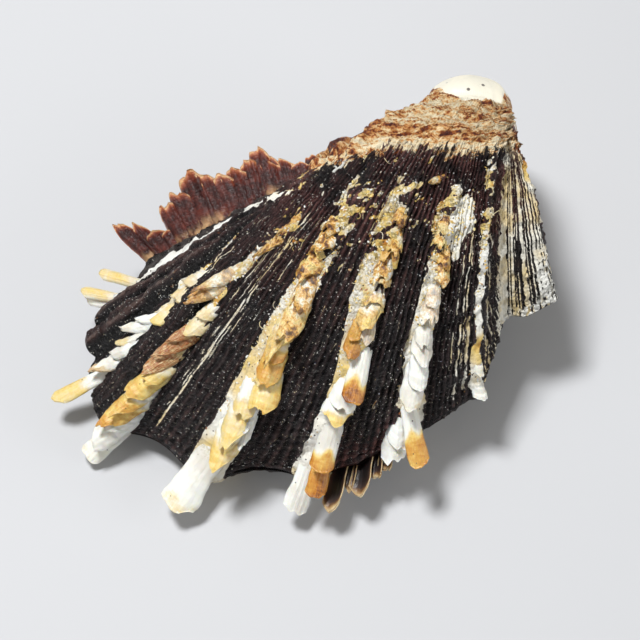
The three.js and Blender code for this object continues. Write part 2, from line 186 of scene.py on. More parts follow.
# Frill leaves beside the frilled ridge: swing, length, width, turn, and where across its end it is longest
FRILLS = [
    (0.8, 9.4, 3, 58, -0.6), (3.4, 4, 4.6, 78, 0.3), (7.6, 8.2, 4.8, 87, 0.7), (10.2, 8.8, 4.6, 91, -0.3),
    (13, 10.6, 5.6, 94, 0.4), (16, 10, 5.4, 97, -0.5), (18.8, 7.6, 5, 99, 0.2), (22, 7.6, 4.6, 101, 0.6),
    (25.2, 8.2, 5, 107, -0.2), (27.6, 9, 4.6, 111, 0), (30.4, 5.6, 5, 108, -0.6), (34.2, 4.8, 4, 104, 0.1),
    (38.4, 2.8, 4.4, 102, 0.5), (43, 2.8, 4, 100, -0.4),
]
FRILL_POINTED = 0.06
FRILL_LIFT = 50

# Gutter-shaped tongues along the margin of the lower valve: across, length, width
TONGUES = [(5.25, 12, 3.6), (5.36, 8.5, 2.2), (5.49, 10, 4.2), (5.63, 8, 2.4), (5.74, 7.5, 3)]
TONGUE_SWING = 4
TONGUE_LIFT = 22

# Short fingers are whiter along their edges instead of darker
SHORT_FINGER = 9
WHITE_EDGE = -2.5

# Growth steps and flutes on a scale
SHORTEST_LAYER = 5
STEP_LENGTH = 1.8
FLUTES = 5
FLUTE_DEPTH = 0.08

# Fine radial riblets in each band, and the long rounded ridges between the ribs on the left: across of the
# middle, half width, height
RIBLETS = np.array([3, 8, 9, 12, 10, 10, 11, 9, 6, 6])
RIBLET_HEIGHT = np.array([0.2, 0.3, 0.35, 0.5, 0.5, 0.5, 0.5, 0.4, 0.3, 0.3])
LONG_RIDGES = [(1.25, 0.16, 2.2), (1.58, 0.18, 2), (2.55, 0.32, 1.6)]
LONG_RIDGES_FADE = (42, 24)
GROOVE_DEPTH = 0.8
GROOVE_WIDTH = 0.06

# Growth marks along the margin, and lumps
NEAR_MARGIN = 14
WRINKLES_PER_DEGREE = 0.9
WRINKLE_HEIGHT = 0.13
NOTCH_DEPTH = 0.6
NOTCHES_FADE = 0.9
LEDGES_AT = (4.5, 11, 19, 28, 39, 51)
LEDGE_HEIGHT = 0.4
CRUMB_HEIGHT = 0.24
CRUST_LUMPS = 0.7
CRUST_PITS = 0.35
TERRACE_HEIGHT = 0.4
TERRACE_SPACING = 10.5
TERRACE_LUMPS = 0.75
WALL_LUMPS = 0.35
# How far the relief is worn off the knob, and how near the joint points stay in its plane
KNOB_SMOOTHNESS = 0.93
JOINT_TOUCH = 0.02

# Pattern. The white band: swing, across of its middle, half its width
WHITE_BAND = [(0, 0.84, 0.16), (4, 0.77, 0.24), (10, 0.7, 0.25), (16, 0.66, 0.22), (24, 0.76, 0.18),
              (32, 1.0, 0.17), (39, 1.4, 0.16), (45, 1.9, 0.13), (50, 2.5, 0.1), (57, 3.2, 0.05)]
BAND_EDGE = 0.03
TOOTH_LENGTH = 0.09
TEETH_PER_DEGREE = 0.32
# The crust of each rib: half its width, how far it strays from the rib's line between two swings, and its end
CRUST = {2: (0.07, 0.12, 24, 10, 34), 3: (0.11, 0.22, 30, 44, 50), 4: (0.19, 0.0, 0, 1, 60),
         5: (0.16, -0.16, 18, 32, 60), 6: (0.15, -0.1, 4, 12, 56), 7: (0.07, -0.06, 0, 4, 66)}
CRUST_EDGE = 0.035
# Thin pale lines: across, half width, first and last swing
PALE_THREADS = [(3.4, 0.011, 2, 50), (3.37, 0.006, 6, 50), (3.33, 0.006, 10, 48), (3.43, 0.006, 14, 48),
                (3.48, 0.005, 20, 48), (3.25, 0.009, 28, 50), (3.2, 0.006, 24, 46), (3.62, 0.005, 22, 50),
                (6.62, 0.014, 2, 44), (6.79, 0.024, 2, 20), (6.7, 0.006, 4, 40), (6.5, 0.008, 8, 46),
                (2.45, 0.008, 26, 44), (4.4, 0.005, 26, 50), (4.55, 0.004, 30, 56), (5.4, 0.004, 28, 52)]
# Pale lines of the ear: across, half width
EAR_LINES = [
    (7.1, 0.03), (7.2, 0.012), (7.29, 0.01), (7.38, 0.012), (7.47, 0.01), (7.57, 0.014), (7.66, 0.01),
    (7.76, 0.035), (7.87, 0.02), (8.05, 0.17), (8.34, 0.02), (8.5, 0.08), (8.68, 0.02), (8.8, 0.015),
    (9.04, 0.08), (9.2, 0.02), (9.34, 0.015), (9.5, 0.05), (9.66, 0.03), (9.8, 0.04), (9.93, 0.05),
]
# Where rust begins, swing by place across, and how many degrees apart its rows of lumps are
RUST_LINE = [(0, 44), (1, 50), (2, 55), (3, 61), (4, 68), (5, 68), (6, 65), (7, 66), (8, 67), (10, 60)]
RUST_ROWS = 12
RUST_ROW_AT = 81

# A white patch on the sixth rib and a pale one on the umbo: across and swing of the middle, and half sizes
WHITE_PATCH = (6.35, 42, 0.3, 7)
PALE_PATCH = (3.6, 92, 1.1, 5)
# The chalky knob starts at this swing, and this much earlier in its middle, which is this far across
CHALK_SWING = OLDEST_SWING + 3
CHALK_REACH = 14
CHALK_MIDDLE = (5.1, 1.1)
# The floor rubs the lower valve chalky between these heights, in metres
SCAR_CHALK = (0.0012, 0.0003)

# How finely the valves are sampled up the shell, and how much finer along the margin, where riblets cross
FINE_STEP = 0.45
COARSE_STEP = 0.6
CLOSER_ACROSS = 0.6
INNER_EVERY = 6

# Scrambling of a grain's corner into a number
HASH_PRIMES = np.array([374761393, 668265263, 1274126177])
HASH_SEED = 974711
HASH_MASK = 0xFFFFFFFF


def smooth(value, start, end):
    share = np.clip((np.asarray(value, float) - start) / (end - start), 0, 1)
    return share * share * (3 - 2 * share)


def blend(a, b, share):
    return a + (b - a) * share


def unit(vectors):
    return vectors / np.linalg.norm(vectors, axis=-1, keepdims=True)


def grain(points, size, seed):
    """Smooth noise from -1 to 1, with grains of that size."""
    cell = np.asarray(points, float) / size
    low = np.floor(cell).astype(np.int64)
    part = cell - low
    part = part * part * (3 - 2 * part)
    total = np.zeros(cell.shape[:-1])
    for corner in np.ndindex(2, 2, 2):
        at = low + corner
        mixed = (np.sum(at * HASH_PRIMES, axis=-1) + seed * HASH_SEED) & HASH_MASK
        mixed = ((mixed ^ (mixed >> 13)) * 1103515245) & HASH_MASK
        mixed = ((mixed ^ (mixed >> 16)) * 69069) & HASH_MASK
        mixed = mixed ^ (mixed >> 15)
        weight = np.prod(np.where(corner, part, 1 - part), axis=-1)
        total += weight * (mixed / 2**31 - 1)
    return total


def rough(points, size, seed, layers=3):
    """Several sizes of grain on each other, each half the last."""
    return sum(grain(points, size / 2**k, seed + k) / 2**k for k in range(layers))


def flat(across, swing, stretch=1.0):
    """Points for a pattern that follows the growth: one unit is about one degree of swing."""
    across, swing = np.broadcast_arrays(np.asarray(across, float), np.asarray(swing, float))
    return np.stack([across * 10, swing * stretch, 0 * across], -1)


def margin_at(across):
    """The margin's point and outward direction in its own plane."""
    points = np.array(MARGIN)

    def spline(a):
        a = np.clip(a, 0, LAST_ACROSS)
        low = np.minimum(np.floor(a).astype(int), LAST_ACROSS - 1)
        t = (a - low)[..., None]
        p0, p1, p2, p3 = (points[np.clip(low + k, 0, LAST_ACROSS)] for k in (-1, 0, 1, 2))
        v0, v1 = (p2 - p0) / 2, (p3 - p1) / 2
        return (2 * p1 - 2 * p2 + v0 + v1) * t**3 + (3 * p2 - 3 * p1 - 2 * v0 - v1) * t**2 + v0 * t + p1

    across = np.clip(np.asarray(across, float), 0, LAST_ACROSS)
    way = unit(spline(across + 0.02) - spline(across - 0.02))
    return spline(across), np.stack([-way[..., 1], way[..., 0]], -1)


def relief(across, swing, side):
    """How far the outside stands out from the plain cup, ribs and scalloped margin alone."""
    rib = np.round(across)
    is_rib = (rib >= 1) & (rib <= 7)
    off = (across - rib) / RIB_HALF_WIDTH
    band = np.sin(np.pi * (across - np.floor(across))) ** 2
    on_fan = (across > 0) & (across < EAR_ROOT)
    index = np.clip(np.floor(across), 0, EAR_ROOT - 1).astype(int)
    crown = BAND_CROWNS[index] - SCALLOPS[side][index] * np.exp(-swing / SCALLOP_DEPTH)
    height = is_rib * RIB_HEIGHT * np.exp(-off * off) + on_fan * band * crown + long_ridges(across, swing)
    return height * smooth(swing, *RELIEF_WORN)


def long_ridges(across, swing):
    """The rounded section of the long ridges between the ribs on the left."""
    section = sum(height * np.sqrt(np.clip(1 - ((across - middle) / half) ** 2, 0, 1))
                  for middle, half, height in LONG_RIDGES)
    return section * smooth(swing, *LONG_RIDGES_FADE)


def fan(across, swing, side, raised=True):
    """Points of the outside between the frilled ridge and the end of the ear."""
    across, swing = np.broadcast_arrays(np.asarray(across, float), np.asarray(swing, float))
    at, out = margin_at(across)
    height = relief(across, swing, side) if raised else 0 * across
    x = at[..., 0] + out[..., 0] * height
    v = at[..., 1] + out[..., 1] * height
    x = np.where(across > EAR_ROOT, blend(x, EAR_ROOT_X, smooth(swing, *EAR_STARTS)), x)
    turn = np.radians(swing)
    size = np.exp(-GROWTH_RATE * turn)
    depth = 1 if side > 0 else -LOWER_DEPTH
    return np.stack([size * x, -size * v * np.cos(turn), depth * size * v * np.sin(turn)], -1)


def outside(across, swing, side):
    """Points of the whole outside, side walls included."""
    across, swing = np.broadcast_arrays(np.asarray(across, float), np.asarray(swing, float))
    top = fan(np.clip(across, 0, LAST_ACROSS), swing, side)
    foot = top * (1, 1, 0)
    opening = smooth(swing, 0, LEFT_SHOULDER_ENDS)
    left = across < 0
    foot[..., 0] = np.where(left, foot[..., 0] * (1 + LEFT_FLARE * opening),
                            foot[..., 0] - RIGHT_UNDERCUT * np.abs(top[..., 2]))
    foot[..., 1] += np.where(left, LEFT_SHOULDER * opening, RIGHT_SHOULDER * smooth(swing, 0, OLDEST_SWING))
    share = np.maximum(-across, across - LAST_ACROSS).clip(0, 1)
    return blend(top, foot, share[..., None])


def knob(across, share, side):
    """Points of the worn knob, from its rim (share 0) to its far end (share 1)."""
    rim = outside(across, OLDEST_SWING, side)
    ring = (rim - KNOB_CENTRE) * np.sqrt(1 - share**2)[..., None] + KNOB_CENTRE
    overhang = 0.5 + 0.5 * smooth(np.abs(ring[..., 2]) / KNOB_TOP, 0, 0.5)
    ring[..., 1] += KNOB_BULGE * share * overhang
    return ring


def place(points):
    """Valve millimetres to metres as the shell rests."""
    turn = Matrix.Identity(3)
    for degrees, axis in ((HEADING, "Z"), (-LEFT_LOWERED, "Y"), (UMBO_RAISED, "X")):
        turn = turn @ Matrix.Rotation(math.radians(degrees), 3, axis)
    return (np.asarray(points) @ np.array(turn).T + HINGE_AT) * MM


def sheet_faces(rows, columns, start=0, turned=False):
    """Quads of a grid of points stored row by row."""
    at = start + np.arange(rows * columns).reshape(rows, columns)
    quads = np.stack([at[:-1, :-1], at[:-1, 1:], at[1:, 1:], at[1:, :-1]], -1).reshape(-1, 4)
    return (quads[:, ::-1] if turned else quads).tolist()


def stitch(long_loop, short_loop):
    """Triangles between two closed loops of points with different counts that run the same way."""
    faces, j = [], 0
    for i in range(len(long_loop)):
        faces.append([long_loop[i], long_loop[(i + 1) % len(long_loop)], short_loop[j % len(short_loop)]])
        if (i + 1) * len(short_loop) >= (j + 1) * len(long_loop) and j < len(short_loop):
            end = long_loop[(i + 1) % len(long_loop)]
            faces.append([end, short_loop[(j + 1) % len(short_loop)], short_loop[j % len(short_loop)]])
            j += 1
    return faces


def border(rows, columns, start=0):
    """The loop of points round a grid."""
    at = start + np.arange(rows * columns).reshape(rows, columns)
    return [*at[0, :], *at[1:, -1], *at[-1, -2::-1], *at[-2:0:-1, 0]]


def mesh_object(name, points, faces, looks, **fields):
    """A finished mesh from points in metres; fields are numbers for each point. Faces are turned outwards."""
    mesh = bpy.data.meshes.new(name)
    mesh.from_pydata(np.asarray(points).tolist(), [], faces)
    for field, values in fields.items():
        values = np.asarray(values, np.float32)
        if field == "uv":
            corners = np.empty(len(mesh.loops), np.int32)
            mesh.loops.foreach_get("vertex_index", corners)
            mesh.uv_layers.new(name="growth").data.foreach_set("uv", values[corners].ravel())
        else:
            mesh.attributes.new(field, "FLOAT", "POINT").data.foreach_set("value", values.ravel())
    mesh.shade_smooth()
    if signed_volume(mesh) < 0:
        mesh.flip_normals()
    mesh.materials.append(looks)
    piece = bpy.data.objects.new(name, mesh)
    bpy.context.scene.collection.objects.link(piece)
    return piece


def signed_volume(mesh):
    mesh.calc_loop_triangles()
    corners = np.empty(len(mesh.loop_triangles) * 3, np.int32)
    mesh.loop_triangles.foreach_get("vertices", corners)
    points = np.empty(len(mesh.vertices) * 3, np.float32)
    mesh.vertices.foreach_get("co", points)
    a, b, c = points.reshape(-1, 3)[corners.reshape(-1, 3)].transpose(1, 0, 2)
    return np.sum(a * np.cross(b, c))


def normals_of(grid):
    """Unit normals of a grid of points, by the directions to its neighbours."""
    down = np.gradient(grid, axis=0)
    along = np.gradient(grid, axis=1)
    return unit(np.cross(along, down) + 1e-12)


# Materials


class Wiring:
    """Adds shader nodes to one tree and links them."""

    def __init__(self, tree):
        self.tree = tree

    def put(self, value, socket):
        if isinstance(value, bpy.types.NodeSocket):
            self.tree.links.new(value, socket)
        else:
            socket.default_value = value

    def node(self, kind, inputs=(), **settings):
        node = self.tree.nodes.new(kind)
        for key, value in settings.items():
            setattr(node, key, value)
        for key, value in dict(inputs).items():
            self.put(value, node.inputs[key])
        return node

    def field(self, name):
        return self.node("ShaderNodeAttribute", attribute_name=name).outputs["Fac"]

    def place(self):
        return self.node("ShaderNodeTexCoord").outputs["Object"]

    def growth(self):
        return self.node("ShaderNodeUVMap", uv_map="growth").outputs["UV"]

    def stretch(self, vector, scale):
        return self.node("ShaderNodeMapping", {"Vector": vector, "Scale": scale}).outputs["Vector"]

    def noise(self, vector, scale, detail=3.0, roughness=0.6, distortion=0.0):
        return self.node("ShaderNodeTexNoise", {
            "Vector": vector, "Scale": scale, "Detail": detail, "Roughness": roughness,
            "Distortion": distortion,
        }).outputs["Fac"]

    def cells(self, vector, scale):
        return self.node("ShaderNodeTexVoronoi", {"Vector": vector, "Scale": scale}).outputs["Distance"]

    def math(self, operation, a, b=0.0, clamp=False):
        return self.node("ShaderNodeMath", {0: a, 1: b}, operation=operation, use_clamp=clamp).outputs[0]

    def add(self, total, *values):
        for value in values:
            total = self.math("ADD", total, value)
        return total

    def times(self, a, b, clamp=False):
        return self.math("MULTIPLY", a, b, clamp)

    def between(self, value, low, high, to_low=0.0, to_high=1.0):
        node = self.node("ShaderNodeMapRange", {"Value": value, "From Min": low, "From Max": high,
                                                "To Min": to_low, "To Max": to_high})
        return node.outputs["Result"]

    def sway(self, noise, amount):
        """A noise's usual range, as up to an amount more or less."""
        return self.between(noise, 0.3, 0.7, -amount, amount)

    def mix(self, share, a, b):
        node = self.node("ShaderNodeMix", data_type="RGBA")
        self.put(share, node.inputs["Factor"])
        self.put(a, [s for s in node.inputs if s.name == "A" and s.type == "RGBA"][0])
        self.put(b, [s for s in node.inputs if s.name == "B" and s.type == "RGBA"][0])
        return [s for s in node.outputs if s.type == "RGBA"][0]

    def ramp(self, value, *stops):
        node = self.node("ShaderNodeValToRGB", {"Fac": value})
        band = node.color_ramp
        while len(band.elements) < len(stops):
            band.elements.new(0.5)
        for element, (at, color) in zip(band.elements, stops):
            element.position = at
            element.color = color
        return node.outputs["Color"]

    def bump(self, height, distance, strength=1.0, below=None):
        inputs = {"Height": height, "Distance": distance, "Strength": strength}
        if below is not None:
            inputs["Normal"] = below
        return self.node("ShaderNodeBump", inputs).outputs["Normal"]


def tone(red, green, blue):
    """A colour given as a picture's 0 to 255 values, for a shader."""
    def linear(value):
        value /= 255
        return value / 12.92 if value <= 0.04045 else ((value + 0.055) / 1.055) ** 2.4
    return (linear(red), linear(green), linear(blue), 1.0)


INK = tone(8, 7, 8)
BLACK = tone(22, 18, 19)
COAL = tone(36, 29, 30)
UMBER = tone(58, 44, 41)
ASH = tone(104, 99, 95)
SMOKE = tone(108, 92, 86)
PLUM = tone(62, 34, 34)
MAUVE = tone(138, 92, 86)
MAROON = tone(80, 38, 34)
RUST = tone(124, 58, 24)
COPPER = tone(164, 92, 44)
BISQUE = tone(214, 170, 122)
CREAM = tone(226, 206, 158)
CHALK = tone(236, 233, 220)
WHITE = tone(236, 236, 230)
PEARL = tone(196, 192, 184)
OLIVE = tone(150, 134, 78)
YELLOW = tone(228, 200, 118)
GOLD = tone(208, 158, 74)
AMBER = tone(186, 122, 42)
BURNT = tone(130, 74, 28)
TAN = tone(176, 132, 88)
BARK = tone(116, 78, 50)
RUSTY_GOLD = tone(208, 146, 80)
APRICOT = tone(230, 184, 128)
SHELL_CREAM = tone(242, 216, 168)
IVORY = tone(246, 232, 200)


def new_material(name, roughness, **constants):
    """A material with its own shader; constants are set on the shader's sockets by name."""
    material = bpy.data.materials.new(name)
    material.use_nodes = True
    wiring = Wiring(material.node_tree)
    shader = material.node_tree.nodes["Principled BSDF"]
    wiring.put(roughness, shader.inputs["Roughness"])
    for key, value in constants.items():
        shader.inputs[key.replace("_", " ")].default_value = value
    return material, wiring, shader


def banded_shell(name):
    """Dark purple-black bands, pale rib crusts, rust towards the umbo, striped ear and chalky knob."""
    material, w, shader = new_material(name, 0.55, Specular_IOR_Level=0.4)
    at, growth = w.place(), w.growth()
    fine = w.noise(at, 2600.0, 4.0, 0.65)
    crumbly = w.noise(at, 1100.0, 4.0, 0.7)
    medium = w.noise(at, 700.0, 4.0, 0.6)
    coarse = w.noise(at, 190.0, 3.0, 0.55)
    threads = w.noise(w.stretch(growth, (230.0, 26.0, 1.0)), 1.0, 4.0, 0.65, 0.2)
    wrinkles = w.noise(w.stretch(growth, (22.0, 230.0, 1.0)), 1.0, 3.0, 0.6, 0.3)
    lump = w.noise(w.stretch(growth, (34.0, 84.0, 1.0)), 1.0, 5.0, 0.65, 0.5)
    torn = w.noise(w.stretch(growth, (90.0, 26.0, 1.0)), 1.0, 4.0, 0.7, 0.6)

    # Dark bands, with ruddy older shell, a grey strip beside the frills and pale specks, partly white grit
    # and partly painted glints. The tone is lighter on the riblet and long-ridge crests, partly wear and
    # partly painted highlight, lighter on the wrinkle crests as painted highlight, and darker between them
    # and in the grooves beside the long ridges as painted shade
    shade = w.add(w.times(w.field("crest"), 0.4), w.times(threads, 0.35), w.times(medium, 0.3),
                  w.field("painted_wrinkle_light"), w.times(w.field("deep"), -0.6))
    dark = w.ramp(shade, (0.26, INK), (0.42, BLACK), (0.62, COAL), (0.78, UMBER), (0.94, SMOKE))
    ruddy = w.times(w.field("ruddy"), w.between(coarse, 0.36, 0.56))
    dark = w.mix(ruddy, dark, w.ramp(shade, (0.22, BLACK), (0.45, PLUM), (0.8, MAUVE)))
    dark = w.mix(w.times(w.field("ashen"), w.between(medium, 0.4, 0.65, 0.1, 0.8)), dark, ASH)
    # Pale specks on the dark bands: partly white grit, partly painted glints
    specks = w.times(w.between(w.cells(at, 1300.0), 0.15, 0.08), w.between(coarse, 0.4, 0.5))
    dark = w.mix(w.times(specks, w.field("grit_and_glints"), clamp=True), dark, CHALK)

    # Pale lines
    line = w.add(w.field("lines"), w.sway(fine, 0.25))
    liner = w.mix(w.between(coarse, 0.42, 0.6), CHALK, CREAM)
    colour = w.mix(w.between(line, 0.42, 0.56), dark, liner)

    # Rusty rows of lumps
    lumped = w.add(w.between(lump, 0.35, 0.65), w.field("rust_shift"), w.between(fine, 0.0, 1.0, -0.15, 0.15))
    rusty = w.ramp(lumped, (0.0, MAROON), (0.16, RUST), (0.32, COPPER), (0.45, RUSTY_GOLD), (0.58, APRICOT),
                   (0.75, SHELL_CREAM), (0.95, IVORY))
    rust_edge = w.add(w.field("rust"), w.sway(torn, 0.5))
    colour = w.mix(w.between(rust_edge, 0.45, 0.55), colour, rusty)

    # Crusts, with pits, and olive and brown stains where they are old
    tint = w.add(w.field("amber"), w.between(coarse, 0.2, 0.8, -0.35, 0.35),
                 w.times(w.field("olive"), w.between(medium, 0.3, 0.7, -0.4, 0.3)))
    pale = w.ramp(tint, (0.0, WHITE), (0.3, CHALK), (0.5, CREAM), (0.68, YELLOW), (0.85, GOLD), (1.0, AMBER))
    pale = w.mix(w.between(w.noise(at, 330.0, 4.0, 0.65), 0.52, 0.68, 0.0, 0.15), pale, PEARL)
    stained = w.times(w.field("olive"), w.between(crumbly, 0.5, 0.6))
    pale = w.mix(w.times(stained, 0.8), pale, OLIVE)
    pale = w.mix(w.between(w.cells(at, 900.0), 0.1, 0.17), UMBER, pale)
    pale = w.mix(w.times(w.between(fine, 0.6, 0.68), w.field("olive")), pale, BARK)
    crust = w.add(w.field("pale"), w.between(medium, 0.0, 1.0, -0.25, 0.25))
    colour = w.mix(w.between(crust, 0.45, 0.52), colour, pale)

    # Worn chalk
    worn = w.add(w.field("chalk"), w.between(medium, 0.0, 1.0, -0.15, 0.15))
    chalky = w.mix(w.between(coarse, 0.4, 0.6), tone(238, 232, 212), tone(226, 222, 206))
    chalky = w.mix(w.between(w.cells(at, 430.0), 0.1, 0.16), ASH, chalky)
    colour = w.mix(w.between(worn, 0.47, 0.53), colour, chalky)

    # Relief, stronger on the dark bands than on pale shell, and none on worn chalk
    unworn = w.between(w.field("chalk"), 0.0, 1.0, 0.9, 0.05)
    smoother = w.between(w.math("MAXIMUM", w.field("pale"), w.field("lines")), 0.0, 1.0, 1.0, 0.15)
    banded = w.times(w.between(w.field("rust"), 0.0, 1.0, 0.9, 0.05), smoother)
    pitted = w.bump(fine, 0.0003, unworn)
    pitted = w.bump(lump, 0.0016, w.times(w.field("rust"), unworn), pitted)
    pitted = w.bump(threads, 0.0022, banded, pitted)
    pitted = w.bump(wrinkles, 0.0016, banded, pitted)
    pitted = w.bump(crumbly, 0.0012, w.times(w.field("olive"), 0.8), pitted)
    pitted = w.bump(medium, 0.0007, unworn, pitted)

    w.put(colour, shader.inputs["Base Color"])
    w.put(w.between(medium, 0.3, 0.7, 0.26, 0.52), shader.inputs["Roughness"])
    w.put(pitted, shader.inputs["Normal"])
    return material


def spine_horn(name):
    """Spines and scales: chalk-white shell that turns to translucent amber or tan horn at the tip."""
    material, w, shader = new_material(
        name, 0.42, Subsurface_Weight=0.25, Subsurface_Scale=0.0015, Subsurface_Radius=(1.0, 0.6, 0.3),
        Coat_Weight=0.15, Coat_Roughness=0.3)
    at, growth = w.place(), w.growth()
    fine = w.noise(at, 2400.0, 4.0, 0.6)
    medium = w.noise(at, 420.0, 4.0, 0.6)
    broad = w.noise(at, 170.0, 3.0, 0.55)
    stains = w.noise(at, 520.0, 4.0, 0.7)
    fibres = w.noise(w.stretch(growth, (16.0, 2.0, 1.0)), 1.0, 3.0, 0.6, 0.2)
    laid = w.noise(w.stretch(growth, (1.5, 9.0, 1.0)), 1.0, 3.0, 0.6, 0.4)

    # White to amber by the field, deeper along the rim of a coloured scale
    edged = w.times(w.field("rim"), w.between(w.field("tint"), 0.2, 0.5, 0.0, 0.08))
    tint = w.add(w.field("tint"), w.sway(medium, 0.1), w.sway(fibres, 0.06), w.sway(laid, 0.06), edged,
                 w.sway(broad, 0.1))
    colour = w.ramp(tint, (0.0, WHITE), (0.24, CHALK), (0.44, CREAM), (0.6, YELLOW), (0.76, GOLD),
                    (0.9, AMBER), (1.0, BURNT))

    # Tan horn
    streaks = w.add(w.field("tan"), w.add(w.sway(fibres, 0.45), w.sway(laid, 0.2)))
    tanned = w.ramp(streaks, (0.15, CREAM), (0.5, TAN), (0.78, COPPER), (1.0, BARK))
    colour = w.mix(w.between(w.field("tan"), 0.15, 0.5), colour, tanned)

    # Pearly veils on white shell, pits, painted shade at the roots that is partly grime, grime on old scales,
    # and stains on old scales
    veiled = w.times(w.between(broad, 0.48, 0.62), w.between(w.field("tint"), 0.5, 0.2))
    colour = w.mix(w.times(veiled, 0.55), colour, PEARL)
    colour = w.mix(w.between(w.cells(at, 480.0), 0.045, 0.075), UMBER, colour)
    root_shade_and_grime = w.times(w.math("MAXIMUM", w.field("root"), w.field("old")), w.between(fine, 0.48, 0.6))
    colour = w.mix(w.times(root_shade_and_grime, 0.7), colour, OLIVE)
    stain = w.ramp(stains, (0.45, CREAM), (0.52, GOLD), (0.6, BARK), (0.68, UMBER))
    colour = w.mix(w.times(w.field("old"), w.between(stains, 0.42, 0.5)), colour, stain)

    ridged = w.bump(laid, 0.0003, 0.2, w.bump(fibres, 0.0004, 0.4))
    ridged = w.bump(medium, 0.0006, w.between(w.field("old"), 0.0, 1.0, 0.25, 0.9), ridged)
    w.put(colour, shader.inputs["Base Color"])
    w.put(w.between(w.field("tint"), 0.2, 0.8, 0.5, 0.28), shader.inputs["Roughness"])
    w.put(ridged, shader.inputs["Normal"])
    return material


def frill_horn(name):
    """Leafy frills: glossy red-brown horn, darker in the folds and tan along the edges."""
    material, w, shader = new_material(name, 0.35, Subsurface_Weight=0.15, Subsurface_Scale=0.0015,
                                       Subsurface_Radius=(1.0, 0.35, 0.2))
    at = w.place()
    fine = w.noise(at, 2400.0, 3.0, 0.6)
    medium = w.noise(at, 430.0, 4.0, 0.6)
    laid = w.noise(w.stretch(w.growth(), (2.5, 15.0, 1.0)), 1.0, 3.0, 0.6, 0.5)
    shade = w.add(w.math("POWER", w.field("rim"), 2.5), w.between(medium, 0.25, 0.75, -0.25, 0.45),
                  w.between(laid, 0.0, 1.0, -0.15, 0.15))
    colour = w.ramp(shade, (0.0, tone(50, 18, 16)), (0.28, tone(96, 38, 28)), (0.6, tone(132, 66, 42)),
                    (0.9, tone(188, 118, 78)), (1.0, tone(222, 178, 132)))
    pale_root = w.times(w.field("root"), w.between(w.noise(at, 230.0, 3.0, 0.6), 0.46, 0.56))
    w.put(w.mix(pale_root, colour, BISQUE), shader.inputs["Base Color"])
    w.put(w.bump(laid, 0.0006, 0.6, w.bump(fine, 0.0003, 0.5)), shader.inputs["Normal"])
    return material


def tongue_horn(name):
    """Tongues of the lower valve: near-black inside, with thin tan rims that let light through."""
    material, w, shader = new_material(name, 0.35, Subsurface_Weight=0.08, Subsurface_Scale=0.001)
    medium = w.noise(w.place(), 500.0, 4.0, 0.6)
    shade = w.add(w.field("rim"), w.between(medium, 0.0, 1.0, -0.25, 0.25))
    colour = w.ramp(shade, (0.0, BLACK), (0.55, UMBER), (0.74, tone(104, 74, 46)), (0.9, tone(164, 134, 92)),
                    (1.0, tone(206, 186, 146)))
    w.put(colour, shader.inputs["Base Color"])
    w.put(w.bump(medium, 0.0003, 0.4), shader.inputs["Normal"])
    return material


def plain(name, color, roughness):
    material, _, shader = new_material(name, roughness)
    shader.inputs["Base Color"].default_value = color
    return material


# Valves


def swing_steps(step):
    """Swings whose rows are about one step apart wherever they are on the fan."""
    widest = max(v for _, v in MARGIN)
    first = step / (widest * math.hypot(1, GROWTH_RATE))
    shrunk = 1 - math.exp(-GROWTH_RATE * math.radians(OLDEST_SWING))
    shares = np.linspace(0, shrunk, int(shrunk / (GROWTH_RATE * first)))
    return np.degrees(-np.log(1 - shares) / GROWTH_RATE)


def across_steps(step):
    """Places across, walls included, that are about that far apart along the margin."""
    dense = np.linspace(0, LAST_ACROSS, 4000)
    line, _ = margin_at(dense)
    run = np.concatenate([[0], np.cumsum(np.linalg.norm(np.diff(line, axis=0), axis=1))])
    inner = np.interp(np.linspace(0, run[-1], int(run[-1] / step)), run, dense)
    wall = np.linspace(0, 1, int(WALL_HEIGHT / step))[1:]
    return np.concatenate([-wall[::-1], inner, LAST_ACROSS + wall])


